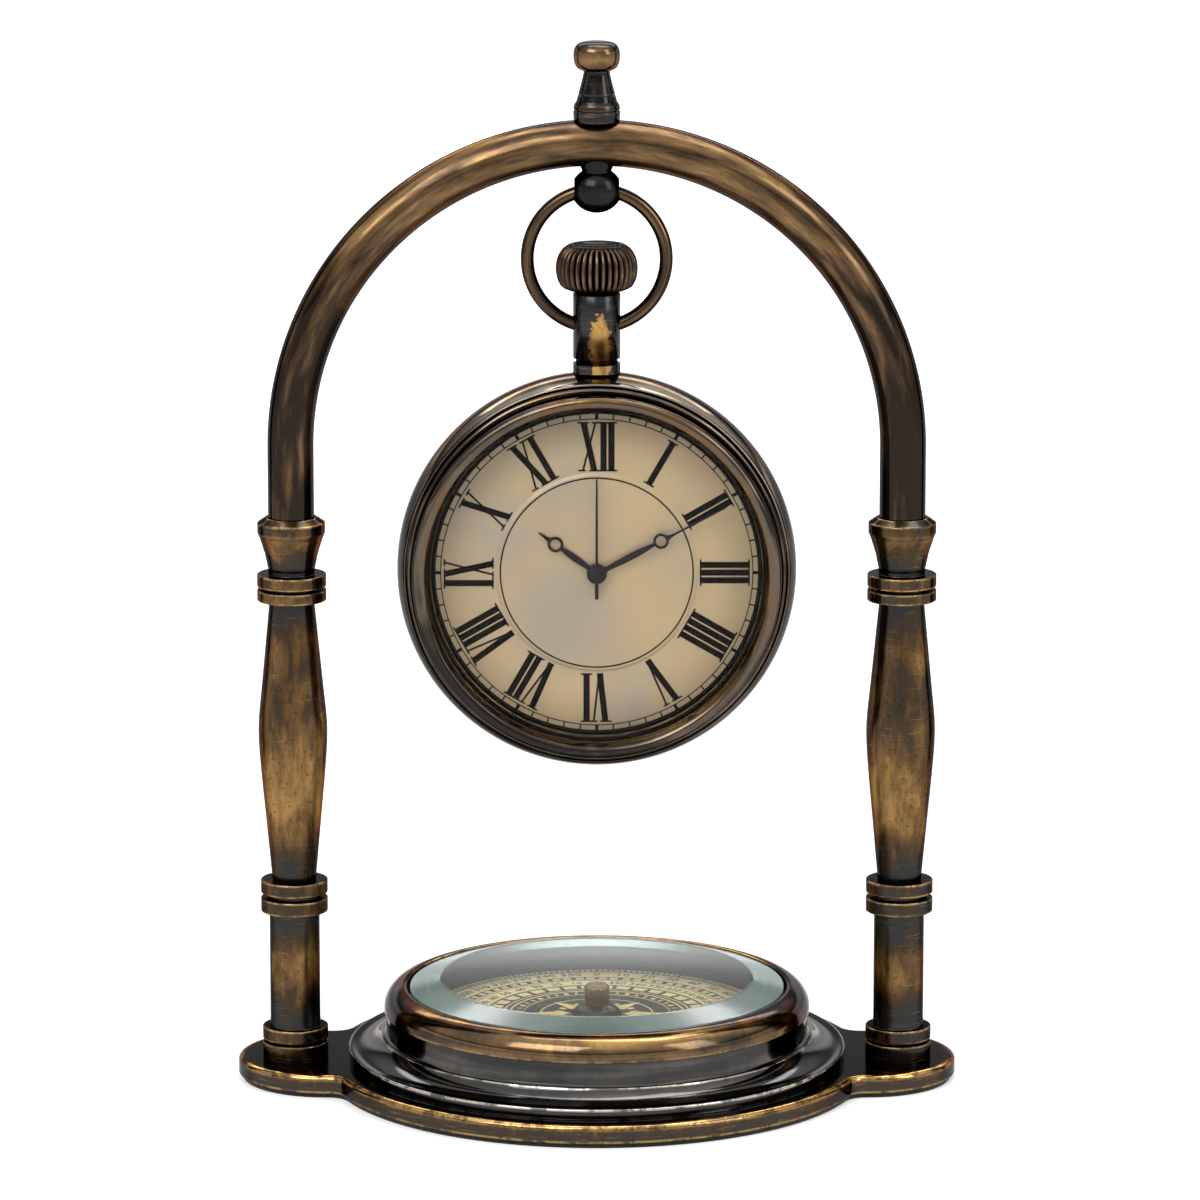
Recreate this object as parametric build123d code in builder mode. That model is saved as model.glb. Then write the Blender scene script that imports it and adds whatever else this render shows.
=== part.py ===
from build123d import *
from math import asin, cos, degrees, pi, radians, sin, sqrt
import os

# A desk clock. An old-style pocket watch hangs by its bow inside a tall arch.
# The arch stands on a lobed base plate, with a compass under a bevelled glass.
# Millimetres, Z up, and the viewer looks along +Y at the dial.
# The origin is the middle of the felt underside.

# General clearances
seat_gap = 0.05
running_gap = 0.06
cut_overrun = 1.0

# Base plate: a disc with a round lobe at each side, felt underneath
felt_thickness = 1.0
felt_inset = 1.0
plate_thickness = 4.0
plate_disc_radius = 59.0
lobe_radius = 19.5
junction_round = 4.0
plate_edge_drop = 1.2
plate_edge_width = 1.0

# Columns: turned pieces stacked on the lobes, each with a ring or two
column_offset = 7.0
hub_radius = 5.7
foot_ring_radius = 7.15
foot_ring_height = 3.0
foot_hub_height = 0.6
stem_low_ring_radius = 7.15
stem_low_ring_height = 2.9
stem_radius = 5.47
stem_length = 25.8
stem_high_ring_radius = 7.3
stem_high_ring_height = 3.1
stem_hub_height = 1.1
baluster_low_ring_radius = 7.3
baluster_low_ring_height = 2.9
baluster_low_radius = 4.75
baluster_belly_radius = 7.75
baluster_belly_height = 32.4
baluster_belly_round = 75.0
baluster_high_radius = 4.85
baluster_length = 62.1
baluster_high_ring_radius = 7.5
baluster_high_ring_height = 2.4
baluster_hub_height = 0.7

# Ferrules: cups on the columns that take the ends of the arch rod
ferrule_ring_radius = 7.5
ferrule_ring_height = 2.7
ferrule_neck_radius = 5.0
ferrule_neck_height = 0.8
ferrule_mid_radius = 5.8
ferrule_mid_rise = 3.8
ferrule_flare_radius = 6.9
ferrule_flare_rise = 7.1
ferrule_lip_radius = 7.35
ferrule_lip_rise = 1.1
ferrule_lip_height = 2.3
ferrule_top_radius = 5.5
ferrule_top_rise = 1.2
ferrule_socket_depth = 8.4

# Tie screws: one from under the plate up through each column
tie_screw_radius = 2.0
tie_bore_gap = 0.2
tie_head_radius = 3.9
tie_thread_depth = 5.0
tie_end_gap = 0.4
screw_head_sink = 0.1

# Arch rod and what hangs from its top
arch_rod_radius = 5.0
arch_leg_length = 23.8
finial_radius = 5.1
finial_sink = 0.4
finial_base_height = 2.4
finial_height = 10.9
finial_neck_radius = 2.9
finial_step_radius = 4.6
finial_step_height = 1.8
finial_knob_radius = 4.9
finial_waist_rise = 2.0
finial_waist_height = 2.3
finial_knob_height = 6.3
finial_shoulder_radius = 3.3
stud_radius = 1.5
stud_finial_depth = 4.0
stud_ball_depth = 2.7
ball_radius = 4.9
ball_drop = 10.15
ball_collar_radius = 3.9
ball_collar_wrap = 1.5
ball_bore_gap = 0.08
ball_bore_flare = 1.17
ball_throat_reach = 0.9

# Bow: a sprung wire ring that passes through the ball and ends in the neck
bow_radius = 14.9
bow_wire_radius = 1.5
bow_end_reach = 3.3
bow_hole_radius = 1.9
bow_hole_reach = 2.9

# Neck and crown
neck_radius = 5.1
neck_edge = 0.5
neck_rise = 7.25
neck_length = 14.4
neck_groove_radius = 4.5
neck_groove_height = 1.2
neck_spigot_radius = 3.5
collar_height = 2.2
crown_gap = 0.2
crown_height = 10.0
crown_radius = 8.8
crown_level_shares = ((0.68, 0.0), (0.94, 0.17), (1.0, 0.47), (0.94, 0.78), (0.65, 1.0))
crown_flutes = 36
crown_valley_share = 0.95
crown_dish_radius = 4.7
crown_dish_depth = 0.5
crown_stem_radius = 1.2
crown_stem_gap = 0.1
crown_stem_grip = 6.0
stem_head_radius = 1.9
stem_head_height = 1.0

# Watch case, turned about the axis through the middle of the dial
dial_face = 5.0
collar_sink = 0.35
case_wall = 4.7
case_belly_back = 2.8
case_front_step = 1.6
case_front_reach = 2.4
case_back_step = 2.3
case_back_depth = 12.0
shelf_width = 1.8
shelf_depth = 2.0
bezel_gap = 0.1
bezel_seat_step = 0.5
bezel_wall = 3.3
bead_width = 1.0
bead_reach = 3.7
bead_foot_reach = 3.1
bulge_side_step = 0.5
bulge_side_reach = 6.2
bulge_crest_step = 2.7
bulge_crest_reach = 8.0
bezel_lip_step = 3.4
bezel_lip_reach = 7.4
crystal_seat_reach = 5.6
crystal_thickness = 1.6
rehaut_slope = 1.6
dial_thickness = 0.8
dial_centre_radius = 21.9
dial_centre_rise = 0.3
dial_hole_radius = 1.9
cover_wall = 1.4
cover_skirt_length = 3.0
cover_side_step = 0.9
cover_side_depth = 4.4
cover_shoulder_step = 4.2
cover_shoulder_depth = 7.4
cover_dome_depth = 9.2
cover_inside_depth = 6.6

# Hands, with their clock angles in degrees
hand_thickness = 0.4
hand_hub_radius = 2.1
hour_hand_lift = 0.7
minute_hand_lift = 1.6
second_hand_lift = 2.5
hour_hand_length = 15.4
hour_eye_distance = 10.9
hour_hand_angle = 305.5
minute_hand_length = 31.5
minute_eye_distance = 15.6
minute_hand_angle = 62.3
hand_root_width = 0.9
hand_belly_width = 1.35
hand_tip_width = 0.25
eye_radius = 1.6
eye_hole_radius = 1.1
second_hand_length = 20.9
second_tail_length = 5.2
second_hand_width = 0.45
second_hub_radius = 1.5

# Movement: a moulded tray with a lid, a cell, and the motion work
tray_corner = 8.0
tray_depth = 15.4
tray_side_gap = 0.62
tray_wall = 1.2
bay_wall_height = 8.6
lid_thickness = 1.2
lid_gap = 0.1
lid_boss_radius = 1.6
lid_boss_height = 2.0
cell_radius = 7.1
cell_length = 49.2
cell_nub_radius = 2.7
cell_nub_length = 1.0
cell_floor_gap = 0.1
cell_lift = 2.5
contact_room = 1.7
contact_thickness = 0.4
contact_half_width = 3.2
contact_bump_radius = 2.5
board_left = 25.0
board_right = 9.0
board_low = 8.0
board_high = 17.0
board_thickness = 1.2
coil_radius = 2.9
coil_length = 18.0
coil_cheek = 6.4
coil_cheek_thickness = 1.0

# Gears: all of one module, on three shafts in a row up the dial
gear_module = 0.4
cannon_teeth = 10
minute_wheel_teeth = 30
minute_pinion_teeth = 8
hour_wheel_teeth = 32
tooth_head = 0.28
tooth_foot = 0.46
tooth_root_share = 0.55
tooth_tip_share = 0.24
gear_thickness = 0.8
gear_float = 0.3
gear_step = 0.6
second_arbor_radius = 0.5
minute_pipe_radius = 1.0
hour_pipe_radius = 1.6
pipe_gap = 0.08
wheel_post_radius = 0.7
setting_arbor_radius = 0.7
setting_knob_radius = 5.0
setting_knob_height = 1.9
setting_knob_gap = 0.2
setting_knob_grips = 16
setting_knob_grip_share = 0.94
arbor_pivot_depth = 0.7

# Compass: turned bowl, glass held by a rounded bezel, card on a pivot
bowl_margin = 4.7
bowl_flange_height = 2.3
bowl_hollow_step = 4.7
bowl_hollow_height = 3.1
bowl_cove_step = 2.5
bowl_cove_height = 4.9
bowl_cove_lip = 0.7
bowl_wall_step = 0.8
bowl_height = 10.2
bowl_wall = 3.7
bowl_floor = 2.5
seat_ring_step = 1.9
seat_ring_width = 7.9
seat_ring_height = 2.1
compass_bezel_stand = 0.4
compass_bezel_foot = 1.2
compass_bezel_side_step = 1.1
compass_bezel_side_height = 3.9
compass_bezel_top_step = 4.4
compass_bezel_height = 5.5
glass_step = 3.4
glass_rim_gap = 0.6
glass_rim_height = 3.5
glass_bevel = 6.7
glass_height = 5.1
card_side_gap = 4.6
card_thickness = 0.5
card_lift = 1.9
card_bore_gap = 0.6
compass_hub_radius = 5.4
compass_hub_height = 2.3
compass_hub_shoulder_radius = 4.6
compass_hub_shoulder_height = 1.4
compass_cap_radius = 2.8
compass_cap_height = 4.5
compass_cap_roof = 1.2
compass_cap_edge = 0.7
pivot_foot_radius = 2.6
pivot_foot_height = 0.9
pivot_radius = 0.7
pivot_tip_radius = 0.15
pivot_tip_height = 1.0
magnet_length = 30.0
magnet_width = 2.2
magnet_height = 1.1
magnet_spread = 5.5
compass_screw_inset = 12.6
compass_screw_radius = 1.5
compass_screw_head_radius = 2.9
compass_screw_bite = 2.0
screw_tip_gap = 0.2

# Widths that follow from the cell outwards: tray, cover, case, bezel, glass and dial
tray_inside = cell_length + cell_nub_length + 2 * contact_room
tray_size = tray_inside + 2 * tray_wall
tray_reach = (tray_size / 2 - tray_corner) * sqrt(2) + tray_corner
cover_inner_radius = tray_reach + tray_side_gap
cover_skirt_radius = cover_inner_radius + cover_wall
case_bore_radius = cover_skirt_radius + bezel_gap
case_radius = case_bore_radius + case_wall
shelf_radius = case_bore_radius - shelf_width
case_front_radius = case_radius - case_front_step
case_back_radius = case_radius - case_back_step
cover_side_radius = case_back_radius - cover_side_step
cover_shoulder_radius = case_back_radius - cover_shoulder_step
cover_floor_radius = cover_shoulder_radius - cover_wall
bezel_seat_radius = case_front_radius - bezel_seat_step
bezel_radius = bezel_seat_radius - bezel_gap
bead_radius = bezel_radius - bead_width / 2
bead_foot_radius = bezel_radius - bead_width
bulge_side_radius = bead_foot_radius - bulge_side_step
bulge_crest_radius = bead_foot_radius - bulge_crest_step
bezel_lip_radius = bead_foot_radius - bezel_lip_step
bezel_bore_radius = bezel_radius - bezel_wall
crystal_radius = bezel_bore_radius - bezel_gap
rehaut_low_radius = bezel_lip_radius - rehaut_slope

# Widths that follow from the plate's disc: lobes, columns, bowl, bezel, glass and card
lobe_spread = plate_disc_radius
column_spread = lobe_spread + column_offset
bowl_flange_radius = plate_disc_radius - bowl_margin
bowl_hollow_radius = bowl_flange_radius - bowl_hollow_step
bowl_cove_radius = bowl_hollow_radius - bowl_cove_step
bowl_radius = bowl_cove_radius - bowl_wall_step
bowl_bore_radius = bowl_radius - bowl_wall
seat_ring_radius = bowl_radius - seat_ring_step
seat_ring_inner_radius = seat_ring_radius - seat_ring_width
compass_bezel_radius = bowl_radius + compass_bezel_stand
compass_bezel_side_radius = compass_bezel_radius - compass_bezel_side_step
compass_bezel_top_radius = compass_bezel_radius - compass_bezel_top_step
glass_radius = seat_ring_radius - glass_step
glass_flat_radius = glass_radius - glass_bevel
card_radius = bowl_bore_radius - card_side_gap
compass_screw_spread = bowl_bore_radius - compass_screw_inset

# Heights that follow from the stack
plate_top = felt_thickness + plate_thickness
stem_base = plate_top + foot_ring_height + foot_hub_height
stem_tube_base = stem_base + stem_low_ring_height
stem_tube_top = stem_tube_base + stem_length
stem_top = stem_tube_top + stem_high_ring_height
baluster_base = stem_top + stem_hub_height
spindle_base = baluster_base + baluster_low_ring_height
spindle_top = spindle_base + baluster_length
baluster_top = spindle_top + baluster_high_ring_height
ferrule_base = baluster_top + baluster_hub_height
ferrule_neck = ferrule_base + ferrule_ring_height + ferrule_neck_height
ferrule_lip = ferrule_neck + ferrule_flare_rise + ferrule_lip_rise
ferrule_shoulder = ferrule_lip + ferrule_lip_height
ferrule_top = ferrule_shoulder + ferrule_top_rise
socket_floor = ferrule_top - ferrule_socket_depth
arch_centre = socket_floor + arch_leg_length
arch_crown = arch_centre + column_spread
finial_foot = arch_crown + arch_rod_radius - finial_sink
finial_shoulder = finial_foot + finial_sink + finial_base_height
finial_neck = finial_foot + finial_height
ball_centre = arch_crown - ball_drop
bow_centre = ball_centre - bow_radius
pivot_reach = (bow_end_reach + neck_radius) / 2
bow_pivot = bow_centre - sqrt(bow_radius**2 - pivot_reach**2)
neck_top = bow_pivot + neck_rise
neck_base = neck_top - neck_length
collar_top = neck_base - neck_groove_height
collar_base = collar_top - collar_height
watch_centre = collar_base + collar_sink - case_radius
crown_base = neck_top + crown_gap

# Radii of bores that follow from what passes through them
tie_bore_radius = tie_screw_radius + tie_bore_gap
tie_thread_radius = tie_screw_radius + seat_gap
tie_screw_top = ferrule_base + tie_thread_depth
stud_bore_radius = stud_radius + seat_gap
arch_socket_radius = arch_rod_radius + seat_gap
crown_bore_radius = crown_stem_radius + crown_stem_gap
spigot_bore_radius = neck_spigot_radius + seat_gap
minute_bore_radius = second_arbor_radius + running_gap
hour_bore_radius = minute_pipe_radius + pipe_gap
wheel_bore_radius = wheel_post_radius + running_gap
setting_bore_radius = setting_arbor_radius + running_gap
gear_distance = gear_module * (cannon_teeth + minute_wheel_teeth) / 2

# Depths along Y: the dial's face is in front of the neck's axis
dial_front = -dial_face
dial_back = dial_front + dial_thickness
case_belly = dial_front + case_belly_back
case_back = dial_front + case_back_depth
shelf_back = dial_back + shelf_depth
crystal_front = dial_front - crystal_seat_reach
crystal_back = crystal_front + crystal_thickness
tray_back = dial_back + tray_depth
tray_floor = dial_back + tray_wall
hour_wheel_front = tray_floor + gear_float
hour_wheel_back = hour_wheel_front + gear_thickness
minute_wheel_front = hour_wheel_back + gear_step
minute_wheel_back = minute_wheel_front + gear_thickness
hour_hand_front = dial_front - hour_hand_lift - hand_thickness
minute_hand_front = dial_front - minute_hand_lift - hand_thickness
second_hand_front = dial_front - second_hand_lift - hand_thickness
lid_front = tray_back - lid_thickness

# Compass heights
bowl_floor_top = plate_top + bowl_floor
bowl_top = plate_top + bowl_height
glass_base = bowl_top + seat_ring_height
compass_bezel_top = bowl_top + compass_bezel_height
card_base = bowl_floor_top + card_lift
card_top = card_base + card_thickness
compass_hub_top = card_top + compass_hub_height
compass_cap_top = compass_hub_top + compass_cap_height
pivot_top = compass_cap_top - compass_cap_roof - running_gap

os.makedirs("parts", exist_ok=True)


def save(part, name):
    part.label = name
    export_step(part, f"parts/{name}.step")


def turning_profile(spread):
    """A plane through the upright axis at x = spread: radius along x, height along y."""
    return Plane(origin=(spread, 0, 0), x_dir=(1, 0, 0), z_dir=(0, -1, 0))


def upright(spread):
    return Axis((spread, 0, 0), (0, 0, 1))


def plate_outline(inset):
    """The disc with its two lobes, inset all round, as a sketch."""
    with BuildSketch() as outline:
        Circle(plate_disc_radius - inset)
        with Locations((-lobe_spread, 0), (lobe_spread, 0)):
            Circle(lobe_radius - inset)
        junctions = outline.vertices().filter_by_position(Axis.X, -lobe_spread, lobe_spread)
        fillet(junctions, junction_round + inset)
    return outline.sketch


def front_plane(front, angle=0, shift=0):
    """A plane facing the viewer, turned clockwise about the dial's middle.

    Its x and y run right and up on the dial at angle 0, and it faces -Y.
    """
    turn = radians(angle)
    return Plane(
        origin=(shift * sin(turn), front, watch_centre + shift * cos(turn)),
        x_dir=(cos(turn), 0, -sin(turn)),
        z_dir=(0, -1, 0),
    )


def gear_outline(teeth, first_angle):
    """The points of a spur gear with straight-sided teeth, one at first_angle."""
    pitch_radius = gear_module * teeth / 2
    tooth_angle = 2 * pi / teeth
    corners = (
        (pitch_radius - tooth_foot, -tooth_root_share),
        (pitch_radius + tooth_head, -tooth_tip_share),
        (pitch_radius + tooth_head, tooth_tip_share),
        (pitch_radius - tooth_foot, tooth_root_share),
    )
    points = []
    for tooth in range(teeth):
        middle = first_angle + tooth * tooth_angle
        for radius, share in corners:
            turn = middle + share * tooth_angle / 2
            points.append((radius * sin(turn), radius * cos(turn)))
    return points


def fluted_outline(radius, flutes, valley_share):
    """The points of a round outline with straight-sided flutes."""
    points = []
    for point in range(2 * flutes):
        reach = radius * valley_share if point % 2 else radius
        turn = pi * point / flutes
        points.append((reach * cos(turn), reach * sin(turn)))
    return points


watch_axis = Axis((0, 0, watch_centre), (0, 1, 0))
turning_plane = Plane.XY.offset(watch_centre)

# Felt pad and base plate
tie_places = [(-column_spread, 0), (column_spread, 0)]
compass_screw_places = [(-compass_screw_spread, 0), (compass_screw_spread, 0)]

with BuildPart() as base_felt:
    with BuildSketch():
        add(plate_outline(felt_inset))
    extrude(amount=felt_thickness)
save(base_felt.part, "base_felt")

with BuildPart() as base_plate:
    with BuildSketch(Plane.XY.offset(felt_thickness)):
        add(plate_outline(0))
    extrude(amount=plate_thickness)
    chamfer(base_plate.edges().group_by(Axis.Z)[-1], plate_edge_drop, plate_edge_width)
    underside = Plane(origin=(0, 0, felt_thickness), x_dir=(1, 0, 0), z_dir=(0, 0, -1))
    with Locations(underside):
        with Locations(*tie_places):
            CounterSinkHole(tie_bore_radius, tie_head_radius + tie_bore_gap, counter_sink_angle=90)
        with Locations(*compass_screw_places):
            CounterSinkHole(
                compass_screw_radius + seat_gap,
                compass_screw_head_radius + seat_gap,
                counter_sink_angle=90,
            )
save(base_plate.part, "base_plate")

# Columns and ferrules, left and right
for side, side_name in ((-1, "left"), (1, "right")):
    with BuildPart() as column_foot:
        with BuildSketch(turning_profile(side * column_spread)):
            with BuildLine():
                Polyline(
                    (tie_bore_radius, plate_top),
                    (foot_ring_radius, plate_top),
                    (foot_ring_radius, plate_top + foot_ring_height),
                    (hub_radius, plate_top + foot_ring_height),
                    (hub_radius, stem_base),
                    (tie_bore_radius, stem_base),
                    close=True,
                )
            make_face()
        revolve(axis=upright(side * column_spread))
    save(column_foot.part, f"{side_name}_column_foot")

    with BuildPart() as column_stem:
        with BuildSketch(turning_profile(side * column_spread)):
            with BuildLine():
                Polyline(
                    (tie_bore_radius, stem_base),
                    (stem_low_ring_radius, stem_base),
                    (stem_low_ring_radius, stem_tube_base),
                    (stem_radius, stem_tube_base),
                    (stem_radius, stem_tube_top),
                    (stem_high_ring_radius, stem_tube_top),
                    (stem_high_ring_radius, stem_top),
                    (hub_radius, stem_top),
                    (hub_radius, baluster_base),
                    (tie_bore_radius, baluster_base),
                    close=True,
                )
            make_face()
        revolve(axis=upright(side * column_spread))
    save(column_stem.part, f"{side_name}_column_stem")

    with BuildPart() as column_baluster:
        with BuildSketch(turning_profile(side * column_spread)):
            with BuildLine():
                Polyline(
                    (baluster_high_radius, spindle_top),
                    (baluster_high_ring_radius, spindle_top),
                    (baluster_high_ring_radius, baluster_top),
                    (hub_radius, baluster_top),
                    (hub_radius, ferrule_base),
                    (tie_bore_radius, ferrule_base),
                    (tie_bore_radius, baluster_base),
                    (baluster_low_ring_radius, baluster_base),
                    (baluster_low_ring_radius, spindle_base),
                    (baluster_low_radius, spindle_base),
                )
                FilletPolyline(
                    (baluster_low_radius, spindle_base),
                    (baluster_belly_radius, spindle_base + baluster_belly_height),
                    (baluster_high_radius, spindle_top),
                    radius=baluster_belly_round,
                )
            make_face()
        revolve(axis=upright(side * column_spread))
    save(column_baluster.part, f"{side_name}_column_baluster")

    with BuildPart() as column_ferrule:
        with BuildSketch(turning_profile(side * column_spread)):
            with BuildLine():
                Polyline(
                    (ferrule_flare_radius, ferrule_neck + ferrule_flare_rise),
                    (ferrule_lip_radius, ferrule_lip),
                    (ferrule_lip_radius, ferrule_shoulder),
                    (ferrule_top_radius, ferrule_top),
                    (arch_socket_radius, ferrule_top),
                    (arch_socket_radius, socket_floor),
                    (0, socket_floor),
                    (0, tie_screw_top + tie_end_gap),
                    (tie_thread_radius, tie_screw_top + tie_end_gap),
                    (tie_thread_radius, ferrule_base),
                    (ferrule_ring_radius, ferrule_base),
                    (ferrule_ring_radius, ferrule_base + ferrule_ring_height),
                    (ferrule_neck_radius, ferrule_base + ferrule_ring_height),
                    (ferrule_neck_radius, ferrule_neck),
                    (ferrule_mid_radius, ferrule_neck + ferrule_mid_rise),
                    close=True,
                )
            make_face()
        revolve(axis=upright(side * column_spread))
    save(column_ferrule.part, f"{side_name}_column_ferrule")

# Tie screws, one in each column
screw_face = felt_thickness + screw_head_sink
tie_head_depth = tie_head_radius - tie_screw_radius

with BuildPart() as tie_screws:
    for side in (-1, 1):
        with BuildSketch(turning_profile(side * column_spread)):
            with BuildLine():
                Polyline(
                    (0, screw_face),
                    (tie_head_radius - screw_head_sink, screw_face),
                    (tie_screw_radius, screw_face + tie_head_depth - screw_head_sink),
                    (tie_screw_radius, tie_screw_top),
                    (0, tie_screw_top),
                    close=True,
                )
            make_face()
        revolve(axis=upright(side * column_spread))
save(tie_screws.part, "tie_screws")

# Arch: one bent rod standing in the two ferrules
left_leg = Location((-column_spread, 0, 0), (0, 0, 90))

with BuildPart() as arch_rod:
    with BuildLine() as arch_path:
        Line((-column_spread, 0, socket_floor), (-column_spread, 0, arch_centre))
        ThreePointArc(
            (-column_spread, 0, arch_centre),
            (0, 0, arch_crown),
            (column_spread, 0, arch_centre),
        )
        Line((column_spread, 0, arch_centre), (column_spread, 0, socket_floor))
    with BuildSketch(Plane.XY.offset(socket_floor)):
        with Locations(left_leg):
            Circle(arch_rod_radius)
    sweep(path=arch_path.wire())
    with BuildSketch(Plane.XY.offset(arch_crown - arch_rod_radius - cut_overrun)):
        Circle(stud_bore_radius)
    extrude(amount=2 * (arch_rod_radius + cut_overrun), mode=Mode.SUBTRACT)
save(arch_rod.part, "arch_rod")

# Saddle cutter: a bar along the arch's top, with room for the bend below it
arch_inside_radius = column_spread - arch_rod_radius
collar_bend_drop = arch_inside_radius - sqrt(arch_inside_radius**2 - ball_collar_radius**2)

with BuildPart() as saddle:
    with BuildSketch(Plane.YZ):
        with Locations((0, arch_crown)):
            Circle(arch_rod_radius + collar_bend_drop + seat_gap)
    extrude(amount=finial_radius + cut_overrun, both=True)

# Finial on the rod: a stepped cone with a flattened knob
finial_waist = finial_neck + finial_waist_rise
finial_top = finial_neck + finial_knob_height

with BuildPart() as finial:
    with BuildSketch(turning_profile(0)):
        with BuildLine():
            Polyline(
                (0, finial_foot),
                (finial_radius, finial_foot),
                (finial_radius, finial_shoulder),
                (finial_step_radius, finial_shoulder),
                (finial_step_radius, finial_shoulder + finial_step_height),
                (finial_neck_radius, finial_neck),
                (finial_knob_radius, finial_waist),
                (finial_knob_radius, finial_waist + finial_waist_height),
                (finial_shoulder_radius, finial_top),
                (0, finial_top),
                close=True,
            )
        make_face()
    revolve(axis=Axis.Z)
    add(saddle.part, mode=Mode.SUBTRACT)
    with BuildSketch(Plane.XY.offset(arch_crown)):
        Circle(stud_bore_radius)
    extrude(
        amount=finial_shoulder + stud_finial_depth + seat_gap - arch_crown,
        mode=Mode.SUBTRACT,
    )
save(finial.part, "finial")

# Ball under the rod, with a bore across it that flares both ways for the bow
bore_throat = bow_wire_radius + ball_bore_gap

with BuildPart() as hanger_ball:
    with BuildSketch(turning_profile(0)):
        with BuildLine():
            collar_start = sqrt(ball_radius**2 - ball_collar_radius**2)
            collar_end = arch_crown - arch_rod_radius + ball_collar_wrap
            ThreePointArc(
                (0, ball_centre - ball_radius),
                (ball_radius, ball_centre),
                (ball_collar_radius, ball_centre + collar_start),
            )
            Polyline(
                (ball_collar_radius, ball_centre + collar_start),
                (ball_collar_radius, collar_end),
                (0, collar_end),
                (0, ball_centre - ball_radius),
            )
        make_face()
    revolve(axis=Axis.Z)
    add(saddle.part, mode=Mode.SUBTRACT)
    with BuildSketch(turning_profile(0)):
        with BuildLine():
            Polyline(
                (-ball_radius, ball_centre + bore_throat + ball_bore_flare),
                (-ball_throat_reach, ball_centre + bore_throat),
                (ball_throat_reach, ball_centre + bore_throat),
                (ball_radius, ball_centre + bore_throat + ball_bore_flare),
                (ball_radius, ball_centre),
                (-ball_radius, ball_centre),
                close=True,
            )
        make_face()
    revolve(axis=Axis((0, 0, ball_centre), (1, 0, 0)), mode=Mode.SUBTRACT)
    with BuildSketch(Plane.XY.offset(ball_centre + stud_ball_depth - seat_gap)):
        Circle(stud_bore_radius)
    extrude(amount=arch_rod_radius + ball_drop, mode=Mode.SUBTRACT)
save(hanger_ball.part, "hanger_ball")

# Stud through the rod that draws the finial and the ball together
with BuildPart() as hanger_stud:
    with BuildSketch(Plane.XY.offset(ball_centre + stud_ball_depth)):
        Circle(stud_radius)
    extrude(amount=finial_shoulder + stud_finial_depth - ball_centre - stud_ball_depth)
save(hanger_stud.part, "hanger_stud")

# Bow: most of a ring of wire, open where it enters the neck
bow_gap_angle = degrees(asin(bow_end_reach / bow_radius))
bow_plane = Plane(origin=(0, 0, bow_centre), x_dir=(1, 0, 0), z_dir=(0, -1, 0))

with BuildPart() as bow:
    with BuildLine(bow_plane) as bow_path:
        CenterArc(
            (0, 0),
            bow_radius,
            start_angle=bow_gap_angle - 90,
            arc_size=360 - 2 * bow_gap_angle,
        )
    with BuildSketch(bow_path.line ^ 0):
        Circle(bow_wire_radius)
    sweep(path=bow_path.wire())
save(bow.part, "bow")

# Neck: a drilled tube whose spigot goes down through the collar into the case
spigot_base = watch_centre + case_bore_radius + seat_gap

with BuildPart() as pendant_tube:
    with BuildSketch(turning_profile(0)):
        with BuildLine():
            Polyline(
                (crown_bore_radius, spigot_base),
                (neck_spigot_radius, spigot_base),
                (neck_spigot_radius, collar_top),
                (neck_groove_radius, collar_top),
                (neck_groove_radius, neck_base),
                (neck_radius, neck_base),
                (neck_radius, neck_top - neck_edge),
                (neck_radius - neck_edge, neck_top),
                (crown_bore_radius, neck_top),
                close=True,
            )
        make_face()
    revolve(axis=Axis.Z)
    for side in (-1, 1):
        with BuildSketch(Plane.YZ.offset(side * bow_hole_reach)):
            with Locations((0, bow_pivot)):
                Circle(bow_hole_radius)
        extrude(amount=side * neck_radius, mode=Mode.SUBTRACT)
save(pendant_tube.part, "pendant_tube")

with BuildPart() as pendant_collar:
    with BuildSketch(turning_profile(0)):
        with BuildLine():
            Polyline(
                (spigot_bore_radius, collar_base - cut_overrun),
                (neck_radius, collar_base - cut_overrun),
                (neck_radius, collar_top),
                (spigot_bore_radius, collar_top),
                close=True,
            )
        make_face()
    revolve(axis=Axis.Z)
    with BuildSketch(turning_profile(0)):
        with Locations((0, watch_centre)):
            Circle(case_radius + seat_gap)
    extrude(amount=neck_radius + cut_overrun, both=True, mode=Mode.SUBTRACT)
save(pendant_collar.part, "pendant_collar")

# Crown: fluted all round, dished on top, on a stem that runs down the neck
with BuildPart() as crown:
    for radius_share, height_share in crown_level_shares:
        level_radius = radius_share * crown_radius
        with BuildSketch(Plane.XY.offset(crown_base + height_share * crown_height)):
            with BuildLine():
                Polyline(*fluted_outline(level_radius, crown_flutes, crown_valley_share), close=True)
            make_face()
    loft(ruled=True)
    with BuildSketch(Plane.XY.offset(crown_base + crown_height - crown_dish_depth)):
        Circle(crown_dish_radius)
    extrude(amount=crown_dish_depth + cut_overrun, mode=Mode.SUBTRACT)
    with BuildSketch(Plane.XY.offset(crown_base)):
        Circle(crown_stem_radius + seat_gap)
    extrude(amount=crown_stem_grip + seat_gap, mode=Mode.SUBTRACT)
save(crown.part, "crown")

stem_head_top = watch_centre + case_bore_radius - seat_gap
stem_head_base = stem_head_top - stem_head_height

with BuildPart() as crown_stem:
    with BuildSketch(turning_profile(0)):
        with BuildLine():
            Polyline(
                (0, stem_head_base),
                (stem_head_radius, stem_head_base),
                (stem_head_radius, stem_head_top),
                (crown_stem_radius, stem_head_top),
                (crown_stem_radius, crown_base + crown_stem_grip),
                (0, crown_base + crown_stem_grip),
                close=True,
            )
        make_face()
    revolve(axis=Axis.Z)
save(crown_stem.part, "crown_stem")

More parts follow.
